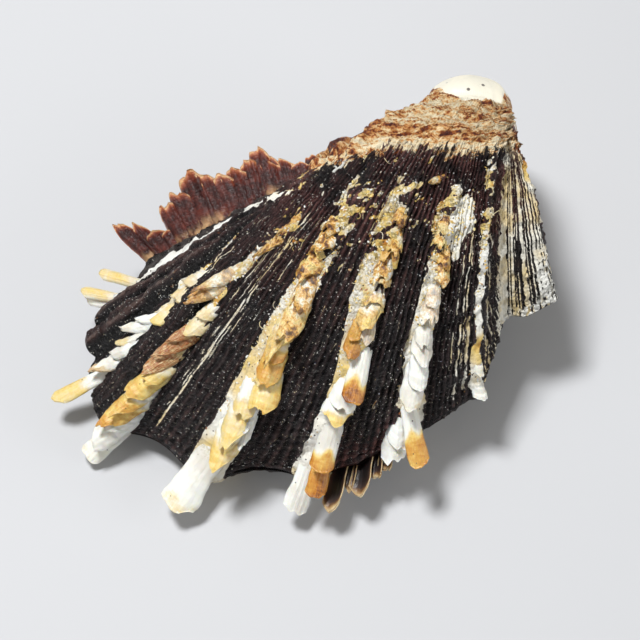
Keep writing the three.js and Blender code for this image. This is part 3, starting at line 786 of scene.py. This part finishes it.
def fine_relief(across, swing):
    """Riblets, wrinkles, growth ledges and lumps, as a height along the surface's normal."""
    spots = flat(across, swing)
    near = np.exp(-swing / NEAR_MARGIN)
    on_fan = ((across > 0) & (across < LAST_ACROSS)).astype(float)
    crust = crust_share(across, swing, 0)
    umbo = smooth(swing - rust_line(across), -3, 4) * on_fan

    crest = riblet_crest(across, swing)
    height = RIBLET_HEIGHT[np.clip(np.floor(across), 0, LAST_ACROSS - 1).astype(int)]
    riblets = height * (1.3 * crest - 0.65) * (1 - crust) * (1 - 0.7 * umbo) * smooth(swing, 0, 1.2)
    ridges = long_ridges(across, swing) * (0.1 * rough(spots, 3, 13) + 0.16 * np.abs(grain(spots, 1.1, 14)))
    ridges = ridges - GROOVE_DEPTH * grooves(across, swing)
    strength = 0.12 + near * (1.1 + smooth(across, 3.8, 4.3) * smooth(across, 6.3, 5.8))
    wrinkles = WRINKLE_HEIGHT * (2 * wrinkle(across, swing) - 1) * strength * (1 - 0.6 * crust)
    at_margin = np.exp(-swing / NOTCHES_FADE) * on_fan
    notches = NOTCH_DEPTH * np.abs(grain(spots * (3, 0.5, 1), 1.7, 97)) * at_margin
    ledge_at = swing + 1.4 * grain(spots, 5, 23)
    ledges = sum(LEDGE_HEIGHT * (smooth(ledge_at, at, at + 0.8) - smooth(ledge_at, at + 0.8, at + 6))
                 for at in LEDGES_AT)
    crumbs = CRUMB_HEIGHT * rough(spots, 1.6, 31)
    lumps = crust * (CRUST_LUMPS * rough(spots, 4, 41) + CRUST_PITS * np.abs(grain(spots, 1.4, 43)))

    terrace_at = swing + 3.5 * grain(flat(across * 0.7, swing), 9, 51)
    terrace = TERRACE_HEIGHT * np.sin(np.radians(terrace_at) * 360 / TERRACE_SPACING)
    terraces = umbo * (terrace + TERRACE_LUMPS * rough(spots, 5, 53))
    ragged = smooth(-across, -0.45, 0.0) * smooth(swing, 20, 34) * (0.2 + 1.1 * rough(spots, 5, 61))
    wall = (1 - on_fan) * WALL_LUMPS * rough(flat(across * 2, swing), 4, 71)
    rim_fade = smooth(1 - np.maximum(-across, across - LAST_ACROSS), 0, 0.12)
    total = on_fan * (riblets + ridges + wrinkles + ledges + lumps) + crumbs + terraces + ragged + wall
    return total * smooth(swing, -0.5, 0.6) * rim_fade + notches


def wrinkle(across, swing):
    """1 on the crests of the fine wrinkles that run along the margin, 0 between them."""
    spots = flat(across, swing)
    warped = swing + 0.5 * grain(spots, 4, 3) + 0.25 * grain(spots, 1.5, 4)
    return 0.5 + 0.5 * np.sin(warped * WRINKLES_PER_DEGREE * 2 * np.pi)


def grooves(across, swing):
    """1 along the bottoms of the deep grooves beside the long ridges."""
    share = 0 * across
    for middle, half, _ in LONG_RIDGES:
        for side in (-1, 1):
            share = np.maximum(share, np.exp(-((across - middle - side * half) / GROOVE_WIDTH) ** 2))
    return share * smooth(swing, *LONG_RIDGES_FADE)


def riblet_crest(across, swing):
    """1 along the middle of each beaded radial riblet, 0 in the grooves between them."""
    spots = flat(across, swing)
    band = np.clip(np.floor(across), 0, LAST_ACROSS - 1).astype(int)
    wander = 0.25 * grain(spots * (0.35, 0.12, 1), 1, 5)
    section = 0.5 + 0.5 * np.cos(2 * np.pi * ((across - band) * RIBLETS[band] + wander))
    beads = 0.8 + 0.32 * grain(flat(across * 2.5, swing * 0.8), 1.1, 11)
    return np.clip(section * beads, 0, 1)


def rust_line(across):
    places, swings = np.array(RUST_LINE).T
    return np.interp(across, places, swings)


def white_band(across, swing, widening):
    """1 on the smooth white band beside the frills, with teeth on its left, falling to 0 at its edges."""
    swings, middles, halves = np.array(WHITE_BAND).T
    middle = np.interp(swing, swings, middles)
    tooth = (TEETH_PER_DEGREE * swing + 0.6 * grain(flat(0 * across, swing), 4, 89)) % 1
    teeth = TOOTH_LENGTH * (np.abs(tooth - 0.5) * 4 - 1)
    half = np.interp(swing, swings, halves) + widening + np.where(across < middle, teeth, 0)
    return smooth(half - np.abs(across - middle), -BAND_EDGE, BAND_EDGE)


def crust_share(across, swing, widening):
    """1 on the crust that the scales of a rib stand on, falling to 0 beside it."""
    share = 0 * across
    for rib, (half, shift, start, end, last) in CRUST.items():
        off = np.abs(across - rib - shift * smooth(swing, start, end))
        here = smooth(half + widening - off, -CRUST_EDGE, CRUST_EDGE) * smooth(swing, last, last - 5)
        share = np.maximum(share, here)
    return share


def lines(across, spots, places, seed, breaks, fray):
    """Thin pale lines that wander a little, fray, and break where their noise is under a limit."""
    share = 0 * across
    for index, (middle, half, gate) in enumerate(places):
        wander = 0.01 * grain(spots * (0, 1, 0), 9, seed + index)
        gaps = grain(spots * (0, 1, 0) + (0, 0, index), 1.6, seed + 50 + index)
        broken = smooth(gaps, breaks, breaks + 0.3)
        frayed = half * (1 + fray * grain(spots * (4, 1, 1), 0.9, seed + 90))
        here = smooth(frayed - np.abs(across - middle - wander), -0.008, 0.008)
        share = np.maximum(share, here * broken * gate)
    return share


def shell_fields(across, swing):
    """What the banded material and the strewn bits read at each point."""
    spots = flat(across, swing)
    ear = smooth(across, 7.12, 7.2)
    rust_at = swing - rust_line(across)
    rust = np.where(across > 0, smooth(rust_at, -8, 7), smooth(swing, 24, 38))

    # Pale places: crusts, the band beside the frills, a patch, the ear's netting and edge, and flecks
    ragged = 0.03 * grain(spots, 4, 81) + 0.03 * grain(spots, 1.3, 82)
    widening = 0.03 * grain(spots * (0, 1, 0), 6, 84) + 0.01 + 0.1 * smooth(swing, 30, 52)
    whole, crumbled = smooth(grain(spots, 3.5, 85), -1.2, -0.5), smooth(rough(spots, 2.2, 86), -0.1, 0.2)
    crust = crust_share(across + ragged, swing, widening) * blend(whole, crumbled, smooth(swing, 26, 44))
    band_broken = blend(1, smooth(grain(spots, 3, 87), -0.3, 0.1), smooth(swing, 30, 40))
    band = white_band(across + 0.5 * ragged, swing, 0.02 * grain(spots, 2, 88)) * band_broken
    middle, patch_swing, wide, high = WHITE_PATCH
    from_patch = np.hypot((across - middle) / wide, (swing - patch_swing) / high)
    patch = smooth(from_patch + 0.4 * rough(spots, 3, 92), 1.1, 0.9)
    edge_crust = smooth(across, 9.45, 9.75) * smooth(np.abs(swing - 46) + 3 * grain(spots, 3, 93), 9, 6)
    flecks = smooth(rough(spots, 1.5, 98), 0.85, 1.05) * smooth(swing, 28, 44) * smooth(rust_at, 3, -5)
    flecks = flecks * smooth(across, 1.1, 1.6) * smooth(across, 6.9, 6.5)
    netting = grain(flat(across * 1.6, swing), 1.1, 95) + 0.5 * grain(flat(across * 3, swing), 0.8, 96)
    netted = smooth(across, 9.1, 9.7) * smooth(swing, 26, 10) * smooth(netting, -0.35, 0.05)
    netted = np.maximum(netted, smooth(across, 7.9, 8.05) * smooth(swing, 4, 1) * smooth(netting, -0.3, 0.1))

    # Thin pale lines, gone towards their ends and under the rust
    threads = lines(across, spots, [
        (middle, half, smooth(swing, end, end - 5) * smooth(swing, start - 1, start + 2))
        for middle, half, start, end in PALE_THREADS], 600, -0.6, 0.6)
    fading = smooth(rust_at, 12, -2) * (1 - 0.42 * smooth(swing, 36, 54))
    striped = lines(across, spots, [(middle, half, fading) for middle, half in EAR_LINES], 700, -1.3, 0.3)

    # Rows of lumps on the umbo
    rows = swing + 2.5 * grain(flat(across * 0.5, swing), 8, 94)
    paler = 0.2 * np.cos(np.radians((rows - RUST_ROW_AT) * 360 / RUST_ROWS)) + 0.1 * smooth(rust_at, 8, 2)
    middle, patch_swing, wide, high = PALE_PATCH
    paler += 0.4 * np.exp(-((across - middle) / wide) ** 2 - ((swing - patch_swing) / high) ** 2)
    paler += -0.45 * smooth(across, 2.4, 0.6) + 0.1 * smooth(across, 2.8, 3.6)
    paler += 0.1 * smooth(across, 6.2, 8) - 0.5 * smooth(across, 9, 9.8)

    ruddy_lip = 0.8 * smooth(np.abs(across - 5.5), 0.4, 0.25) * smooth(swing, 7, 2)
    near = np.exp(-swing / 10) * smooth(across, 2.9, 3.3)
    crumbly = np.maximum.reduce([crust * smooth(swing, 6, 26), patch, flecks])
    return {
        "uv": np.stack([across / LAST_ACROSS, swing / OLDEST_SWING], -1),
        "pale": np.maximum.reduce([crust, band * (1 - rust), patch, netted, edge_crust, flecks]),
        "amber": 0.36 + 0.35 * grain(spots, 5, 83) - 0.5 * patch - 0.4 * band - 0.15 * smooth(swing, 20, 0)
        + 0.2 * smooth(swing, 34, 46),
        "olive": np.maximum(crust, flecks) * smooth(swing, 18, 34),
        "rust": rust,
        "rust_shift": paler,
        "lines": np.maximum(0.9 * threads, striped * ear),
        "ruddy": np.clip(0.12 + 0.8 * smooth(swing, 20, 52) + ear * smooth(swing, 20, 34) + ruddy_lip, 0, 1),
        "ashen": smooth(across, 0.75, 0.4) * smooth(swing, 44, 30) * (across > -0.02),
        # Where the pale specks go: partly white grit, partly painted glints
        "grit_and_glints": smooth(swing, -2, 14),
        # Lighter on the crests of the riblets and long ridges, partly wear and partly painted highlight;
        # darker between them as painted shade
        "crest": riblet_crest(across, swing) + 0.8 * smooth(long_ridges(across, swing), 1.3, 2.2),
        # Painted highlight on the crests of the wrinkles near the margin, painted shade between them
        "painted_wrinkle_light": 0.3 * (wrinkle(across, swing) - 0.4) * near,
        # Painted shade along the grooves beside the long ridges
        "deep": grooves(across, swing),
        "bare": np.clip(1 - 1.5 * np.maximum.reduce([crust, band, patch, rust, 0.5 * ear]), 0, 1),
        "crumbly": np.clip(crumbly, 0, 1) * (across > 0),
        "frayed": np.clip(crust * (1 - crust) * 4, 0, 1) * smooth(swing, 3, 8),
        "chalk": np.zeros_like(across),
    }


def valve_grid(side, step):
    """Points and fields of the outside of a valve, its margin on the joint first and its knob last."""
    across, swings = across_steps(step * CLOSER_ACROSS), swing_steps(step)
    knob_shares = np.sin(np.linspace(0, np.pi / 2, int(KNOB_LENGTH / step)))[1:]
    across_grid, swing_grid = np.meshgrid(across, swings)
    body = outside(across_grid, swing_grid, side)
    knob_across, knob_share = np.meshgrid(across, knob_shares)
    cap = knob(knob_across, knob_share, side)
    grid = np.concatenate([body, cap])
    knob_swing = OLDEST_SWING + KNOB_SWINGS * knob_share
    across_all = np.concatenate([across_grid, knob_across])
    swing_all = np.concatenate([swing_grid, knob_swing])

    on_knob = smooth(swing_all, 98, OLDEST_SWING + 1)
    height = fine_relief(across_all, swing_all) * (1 - KNOB_SMOOTHNESS * on_knob)
    normals = normals_of(grid) * side
    centre = np.nanmean(grid[: len(swings) // 2], axis=(0, 1)) * (1, 1, 0)
    if np.mean(np.sum(normals[: len(swings)] * (grid[: len(swings)] - centre), -1)) < 0:
        normals = -normals
    off_joint = np.abs(grid[..., 2]) > JOINT_TOUCH
    grid = grid + normals * (height * off_joint)[..., None]
    grid[..., 2] = side * np.maximum(side * grid[..., 2], 0)

    fields = shell_fields(across_all, swing_all)
    middle, wide = CHALK_MIDDLE
    chalk_line = CHALK_SWING - CHALK_REACH * np.exp(-((across_all - middle) / wide) ** 2)
    chalk_line = chalk_line + 3 * rough(flat(across_all, swing_all), 7, 91)
    fields["chalk"] = smooth(swing_all, chalk_line - 1.5, chalk_line + 1.5)
    return grid, fields


def valve(name, side, step, looks):
    grid, fields = valve_grid(side, step)
    rows, columns = grid.shape[:2]
    gap = np.array([0, 0, side * VALVE_GAP / 2])
    points = [grid.reshape(-1, 3) + gap]
    faces = sheet_faces(rows, columns)

    row_pick = sorted({*range(0, rows, INNER_EVERY), rows - 1})
    column_pick = sorted({*range(0, columns, INNER_EVERY), columns - 1})
    inner = grid[np.ix_(row_pick, column_pick)]
    inner = (inner - CUP_CENTRE) * CAVITY_SHARE + CUP_CENTRE
    inner[..., 2] = side * np.maximum(side * inner[..., 2] - CAVITY_SUNK, 0)
    start = rows * columns
    points.append(inner.reshape(-1, 3) + gap)
    faces += sheet_faces(len(row_pick), len(column_pick), start, turned=True)
    faces += stitch(border(rows, columns), border(len(row_pick), len(column_pick), start))
    points = place(np.concatenate(points))
    if side < 0:
        points[:, 2] = np.maximum(points[:, 2], 0)
    for key, values in fields.items():
        count = values.shape[-1] if key == "uv" else 1
        extra = values[np.ix_(row_pick, column_pick)]
        joined = np.concatenate([values.reshape(-1, count), extra.reshape(-1, count)])
        fields[key] = joined if key == "uv" else joined[:, 0]
    if side < 0:
        fields["chalk"] = np.maximum(fields["chalk"], smooth(points[:, 2], *SCAR_CHALK))
    return mesh_object(name, points, faces, looks, **fields)


# Blades: scales, spines, frill leaves and tongues


def axes_at(across, swing, side):
    """The point of the outside and its directions: ventral, to the left, and outwards."""
    step = 0.05
    at = fan(across, swing, side)
    ventral = fan(across, swing - step, side, False) - fan(across, swing + step, side, False)
    aside = fan(across + step, swing, side, False) - fan(across - step, swing, side, False)
    out = unit(np.cross(aside, ventral) * -side)
    ventral = unit(ventral)
    return at, ventral, np.cross(ventral, out) * side, out


def blade(across, swing, side, length, width, lift, turn, seed, *, widths, cup=0.5, thick=1.0, thin=0.4,
          sunk=1.8, rounding=0.15, ragged=0.05, steps=0.1, lumpy=0.12, folds=0.0, fold_count=3, peak=0.0,
          pointed=0.0, stations=28, ring=17):
    """Points, quads and fields of one thin, cupped, ragged blade that grows out of the shell."""
    at, ventral, left, out = axes_at(across, swing, side)
    turn, lift = math.radians(turn), math.radians(lift)
    level = ventral * math.cos(turn) + left * math.sin(turn)
    along = level * math.cos(lift) + out * math.sin(lift)
    broad = unit(np.cross(along, out))
    up = unit(np.cross(broad, along))

    share, edge = np.meshgrid(np.linspace(0, 1, stations), np.linspace(-1, 1, ring), indexing="ij")
    spot = np.stack([edge * width / 2, share * length, np.full_like(share, seed * 7.3)], -1)
    end = 1 - rounding * np.abs(edge) ** 3 - pointed * np.abs(edge - peak)
    end = end + ragged * rough(spot * (1, 0, 1), width / 2.5, seed)
    reach = share * end
    places, wide = np.array(widths).T
    half = width / 2 * np.interp(reach, places, wide)
    each_side = spot * (0, 1, 1) + 50 * np.sign(edge)[..., None] * (1, 0, 0)
    half = half * (1 + 0.08 * rough(each_side, 2.2, seed + 1))
    wave = folds * width * reach * np.sin(edge * fold_count * math.pi + seed) * 0.5
    growth = reach * length / STEP_LENGTH + 0.5 * grain(spot, 3, seed + 3) + 0.35 * edge * edge
    steps = steps * (1 - growth % 1) * smooth(share, 0, 0.15)
    flutes = FLUTE_DEPTH * np.cos(edge * FLUTES * math.pi + grain(spot, 4, seed + 4)) * (1 - edge**6)
    lumps = lumpy * rough(spot, 1.6, seed + 2) + steps + flutes
    base = (at + along * (reach * length)[..., None] - out * (sunk * (1 - reach))[..., None]
            + broad * (half * edge)[..., None])
    crown = -cup * half * edge**2 + wave
    wall = blend(thick, thin, reach) * (1 - 0.55 * edge**4)
    top = base + up * (crown + wall * 0.7 + lumps)[..., None]
    bottom = base + up * (crown - wall * 0.3 + 0.4 * lumps)[..., None]

    points = np.concatenate([top, bottom[:, ::-1]], axis=1)
    count = 2 * ring
    index = np.arange(stations * count).reshape(stations, count)
    ahead = np.roll(index, -1, axis=1)
    faces = np.stack([index[:-1], ahead[:-1], ahead[1:], index[1:]], -1).reshape(-1, 4).tolist()
    for row, turned in ((0, True), (stations - 1, False)):
        for j in range(ring - 1):
            quad = [index[row, j], index[row, j + 1], index[row, count - 2 - j], index[row, count - 1 - j]]
            faces.append([int(i) for i in (quad if turned else quad[::-1])])

    def doubled(values):
        return np.concatenate([values, values[:, ::-1]], axis=1)

    rim = np.maximum(np.abs(edge) ** 3, smooth(share, 0.7, 1.0))
    points = points.reshape(-1, 3)
    return points, outward(points, faces), {
        "share": doubled(share).ravel(),
        "across_blade": doubled(edge).ravel(),
        "rim": doubled(rim).ravel(),
        "root": doubled(smooth(share, 0.35, 0.05)).ravel(),
        "uv": np.stack([doubled(edge), doubled(reach * length / 4)], -1).reshape(-1, 2) + seed * 3.7,
    }


def blades_object(name, blades, looks):
    """One mesh of many blades."""
    points, faces, fields, start = [], [], {}, 0
    for some_points, some_faces, some_fields in blades:
        points.append(some_points)
        faces += [[i + start for i in face] for face in some_faces]
        start += len(some_points)
        for key, values in some_fields.items():
            fields.setdefault(key, []).append(values)
    fields = {key: np.concatenate(values) for key, values in fields.items()}
    return mesh_object(name, place(np.concatenate(points)), faces, looks, **fields)


def outward(points, faces):
    """The faces of one closed blade, turned so that they look out."""
    a, b, c, d = points[np.array(faces)].transpose(1, 0, 2)
    volume = np.sum(a * (np.cross(b, c) + np.cross(c, d)))
    return faces if volume > 0 else [face[::-1] for face in faces]


def scale_layers(across, swing, length, width, turn, lift, form, root_tint, tip_tint, changes, seed):
    """A scale as its own growth left it: one broad layer, and shorter ones on top of it."""
    widths, rounding, ragged, cup, shares, steps = FORMS[form]
    layers = []
    old = float(smooth(swing, 22, 40))
    for index, (share, wide) in enumerate(shares):
        if index and length * share < SHORTEST_LAYER:
            continue
        points, faces, fields = blade(
            across, swing + 1.1 * index, 1, length * share, width * wide, lift + 3 * index,
            turn + (seed % 5 - 2) * 1.5 * index, seed * 3 + index, widths=widths, cup=cup,
            ragged=ragged + 0.16 * old, rounding=rounding, steps=steps, lumpy=0.1 + 0.3 * old, thin=0.4)
        edge = fields["across_blade"]
        jag = changes / share + 0.05 * np.sin(edge * 4 + seed) + 0.12 * edge**2
        towards = smooth(fields["share"], jag - 0.08, jag + 0.12)
        root, tip = root_tint % 1, tip_tint % 1
        fields["tan"] = towards * (0.3 + 0.4 * tip) * (tip_tint > 1)
        fields["tint"] = np.clip(blend(root, tip, towards) - 0.05 * index, 0, 1)
        fields["old"] = np.full_like(towards, old)
        if form == "finger" and length < SHORT_FINGER:
            fields["rim"] = WHITE_EDGE * np.abs(edge) ** 3
        layers.append((points, faces, fields))
    return layers


def upper_scales(looks):
    blades = []
    for seed, scale in enumerate(UPPER_SCALES, 1):
        blades += scale_layers(*scale, seed)
    return blades_object("rib_scales", blades, looks)


def frill_leaves(looks):
    widths = [(0, 1), (0.5, 1.02), (0.85, 0.95), (1, 0.82)]
    blades = []
    for seed, (swing, length, width, turn, peak) in enumerate(FRILLS):
        for index in range(2):
            blades.append(blade(
                0, swing + 1.5 * index, 1, length * (1 - 0.22 * index), width * (1 - 0.15 * index),
                FRILL_LIFT - 7 * index, turn + 8 * index, 300 + seed * 2 + index, widths=widths, cup=0.55,
                thick=0.8, thin=0.3, sunk=1.2, rounding=0.24, ragged=0.09, folds=0.14,
                fold_count=1.5 + seed % 3, peak=peak, pointed=FRILL_POINTED))
    return blades_object("side_frills", blades, looks)


def lower_tongues(looks):
    widths = [(0, 0.7), (0.45, 0.85), (0.8, 1), (0.93, 0.95), (1, 0.78)]
    blades = [
        blade(across, TONGUE_SWING, -1, length, width, TONGUE_LIFT, 0, 500 + seed, widths=widths, cup=0.45,
              thick=0.8, thin=0.3, sunk=1.4, rounding=0.13, ragged=0.05)
        for seed, (across, length, width) in enumerate(TONGUES)]
    return blades_object("lower_tongues", blades, looks)


# Small grown bits, strewn by Geometry Nodes


def node_tree(name, inputs):
    """An empty Geometry Nodes tree with a geometry in and out and the named number inputs."""
    tree = bpy.data.node_groups.new(name, "GeometryNodeTree")
    tree.is_modifier = True
    tree.interface.new_socket("Geometry", in_out="INPUT", socket_type="NodeSocketGeometry")
    for key, value in inputs.items():
        kind = "NodeSocketInt" if isinstance(value, int) else "NodeSocketFloat"
        tree.interface.new_socket(key, in_out="INPUT", socket_type=kind).default_value = value
    tree.interface.new_socket("Geometry", in_out="OUTPUT", socket_type="NodeSocketGeometry")
    w = Wiring(tree)
    return tree, w, w.node("NodeGroupInput").outputs


def drawn(node):
    """The output that a Random Value node gives in its own data type."""
    return next(socket for socket in node.outputs if socket.enabled)


def strewing(name, field, bit, looks, palest, darkest, tannest):
    """A tree that stands small bits on a surface, thickest where the field is 1."""
    tree, w, given = node_tree(
        name, {"Density": 1e5, "Smallest": 0.0001, "Largest": 0.0002, "Tilt": 0.4, "Seed": 1})
    there = w.node("GeometryNodeInputNamedAttribute", {"Name": field}, data_type="FLOAT").outputs["Attribute"]
    points = w.node("GeometryNodeDistributePointsOnFaces", {
        "Mesh": given["Geometry"], "Density": w.times(there, given["Density"]), "Seed": given["Seed"]})
    lean = w.times(given["Tilt"], -1.0)
    low = w.node("ShaderNodeCombineXYZ", {"X": lean, "Y": lean, "Z": -math.pi}).outputs[0]
    high = w.node("ShaderNodeCombineXYZ", {"X": given["Tilt"], "Y": given["Tilt"], "Z": math.pi}).outputs[0]
    seed = given["Seed"]
    spin = w.node("FunctionNodeRandomValue", {0: low, 1: high, "Seed": seed}, data_type="FLOAT_VECTOR")
    turned = w.node("FunctionNodeRotateRotation", {
        "Rotation": points.outputs["Rotation"],
        "Rotate By": w.node("FunctionNodeEulerToRotation", {0: spin.outputs["Value"]}).outputs[0],
    }, rotation_space="LOCAL").outputs[0]
    size = w.node("FunctionNodeRandomValue", {2: given["Smallest"], 3: given["Largest"], "Seed": seed})
    placed = w.node("GeometryNodeInstanceOnPoints", {
        "Points": points.outputs["Points"], "Instance": bit(w), "Rotation": turned, "Scale": drawn(size),
    }).outputs["Instances"]
    for key, least, most, draw in (("tint", palest, darkest, 11), ("tan", tannest - 2.0, tannest, 12)):
        value = w.node("FunctionNodeRandomValue", {2: least, 3: most, "Seed": draw})
        placed = w.node("GeometryNodeStoreNamedAttribute", {
            "Geometry": placed, "Name": key, "Value": drawn(value),
        }, data_type="FLOAT", domain="INSTANCE").outputs["Geometry"]
    whole = w.node("GeometryNodeRealizeInstances", {"Geometry": placed}).outputs["Geometry"]
    finished = w.node("GeometryNodeSetMaterial", {"Geometry": whole, "Material": looks}).outputs["Geometry"]
    w.node("NodeGroupOutput", {"Geometry": finished})
    return tree


def pebble(length, width, height):
    """A bit of shell: a small flattened lump of that share of its size each way."""
    def made(w):
        ball = w.node("GeometryNodeMeshIcoSphere", {"Radius": 1.0, "Subdivisions": 1}).outputs["Mesh"]
        size = (length, width, height)
        return w.node("GeometryNodeTransform", {"Geometry": ball, "Scale": size}).outputs[0]
    return made


def thread(w):
    """A thin curved thread, one unit long."""
    bow = w.node("GeometryNodeCurveQuadraticBezier", {
        "Start": (0.0, 0.0, -0.1), "Middle": (0.5, 0.45, 0.35), "End": (1.0, 0.0, 0.12), "Resolution": 6,
    }).outputs[0]
    round_end = w.node("GeometryNodeCurvePrimitiveCircle", {"Resolution": 5, "Radius": 0.035}).outputs[0]
    return w.node("GeometryNodeCurveToMesh", {
        "Curve": bow, "Profile Curve": round_end, "Fill Caps": True}).outputs[0]


def strew(name, host, tree, **sizes):
    """The bits that a tree stands on a finished piece, as one mesh of their own."""
    piece = bpy.data.objects.new(name, host.data.copy())
    bpy.context.scene.collection.objects.link(piece)
    modifier = piece.modifiers.new("strewn", "NODES")
    modifier.node_group = tree
    sockets = {item.name: item.identifier for item in tree.interface.items_tree if item.in_out == "INPUT"}
    for key, value in sizes.items():
        modifier[sockets[key]] = value
    ready = piece.evaluated_get(bpy.context.evaluated_depsgraph_get())
    mesh = bpy.data.meshes.new_from_object(ready)
    ground = piece.data
    piece.modifiers.clear()
    piece.data = mesh
    mesh.name = name
    bpy.data.meshes.remove(ground)
    return piece


# Stage


def camera_and_light():
    azimuth, elevation = math.radians(CAMERA_AZIMUTH), math.radians(CAMERA_ELEVATION)
    back = Vector((math.sin(azimuth) * math.cos(elevation), -math.cos(azimuth) * math.cos(elevation), 0))
    back.z = math.sin(elevation)
    across = Vector((0, 0, 1)).cross(back).normalized()
    turned = Matrix.Rotation(math.radians(CAMERA_ROLL), 3, back)
    right = turned @ across
    up = back.cross(right)
    camera = bpy.data.objects.new("camera", bpy.data.cameras.new("camera"))
    camera.data.lens = CAMERA_LENS
    camera.data.clip_start = 0.01
    camera.data.clip_end = 10
    placed = Matrix((right, up, back)).transposed().to_4x4()
    placed.translation = (Vector(CAMERA_AIM) + back * CAMERA_DISTANCE) * MM
    camera.matrix_world = placed
    bpy.context.scene.collection.objects.link(camera)
    bpy.context.scene.camera = camera

    for name, toward, distance, size, watts in (
        ("key", right * -0.28 + up * 0.64 + back * 0.9, 0.6, 0.12, 3.9),
        ("fill", right * 0.95 - up * 0.1 + back * 0.4, 0.7, 0.5, 1.9),
        ("rim", right * -0.8 - up * 0.5 + back * 0.45, 0.7, 0.3, 1.3),
    ):
        light = bpy.data.objects.new(name, bpy.data.lights.new(name, "AREA"))
        light.data.size = size
        light.data.energy = watts
        light.location = Vector(CAMERA_AIM) * MM + toward.normalized() * distance
        light.rotation_euler = toward.to_track_quat("Z", "Y").to_euler()
        bpy.context.scene.collection.objects.link(light)

    world = bpy.data.worlds.new("studio")
    world.use_nodes = True
    world.node_tree.nodes["Background"].inputs["Color"].default_value = (1.0, 0.98, 0.95, 1)
    world.node_tree.nodes["Background"].inputs["Strength"].default_value = 0.24
    bpy.context.scene.world = world
    bpy.context.scene.view_settings.view_transform = "Standard"


def floor(looks):
    half = 1.5
    corners = [(-half, -half, 0), (half, -half, 0), (half, half, 0), (-half, half, 0)]
    mesh = bpy.data.meshes.new("floor")
    mesh.from_pydata(corners, [], [[0, 1, 2, 3]])
    mesh.materials.append(looks)
    piece = bpy.data.objects.new("floor", mesh)
    bpy.context.scene.collection.objects.link(piece)
    return piece


camera_and_light()
floor(plain("floor", (0.56, 0.57, 0.59, 1), 0.8))

shell_looks = banded_shell("banded_shell")
horn_looks = spine_horn("spine_horn")
upper_body = valve("upper_body", 1, FINE_STEP, shell_looks)
grit = strewing("grit", "bare", pebble(1.0, 0.7, 0.5), horn_looks, 0.05, 0.4, 0.0)
crumbs = strewing("crumbs", "crumbly", pebble(1.0, 0.6, 0.4), horn_looks, 0.1, 0.72, 0.5)
fray = strewing("fray", "frayed", pebble(1.0, 0.4, 0.3), horn_looks, 0.3, 0.9, 1.0)
threads = strewing("threads", "crumbly", thread, horn_looks, 0.35, 0.6, 0.0)
upper_pieces = [
    upper_body,
    upper_scales(horn_looks),
    frill_leaves(frill_horn("frill_horn")),
    strew("band_grit", upper_body, grit, Density=8e5, Smallest=0.00004, Largest=0.00012, Seed=3),
    strew("rib_crumbs", upper_body, crumbs, Density=2.6e6, Smallest=0.0001, Largest=0.0004, Tilt=0.6, Seed=5),
    strew("rib_fray", upper_body, fray, Density=1e6, Smallest=0.00012, Largest=0.0004, Tilt=0.5, Seed=7),
    strew("rib_threads", upper_body, threads,
          Density=1.5e5, Smallest=0.0008, Largest=0.002, Tilt=0.5, Seed=9),
]
lower_pieces = [
    valve("lower_body", -1, COARSE_STEP, shell_looks),
    lower_tongues(tongue_horn("tongue_horn")),
]
for piece in upper_pieces:
    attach(piece, "root")
    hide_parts("upper_valve")
for piece in lower_pieces:
    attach(piece, "root")
    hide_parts("lower_valve")
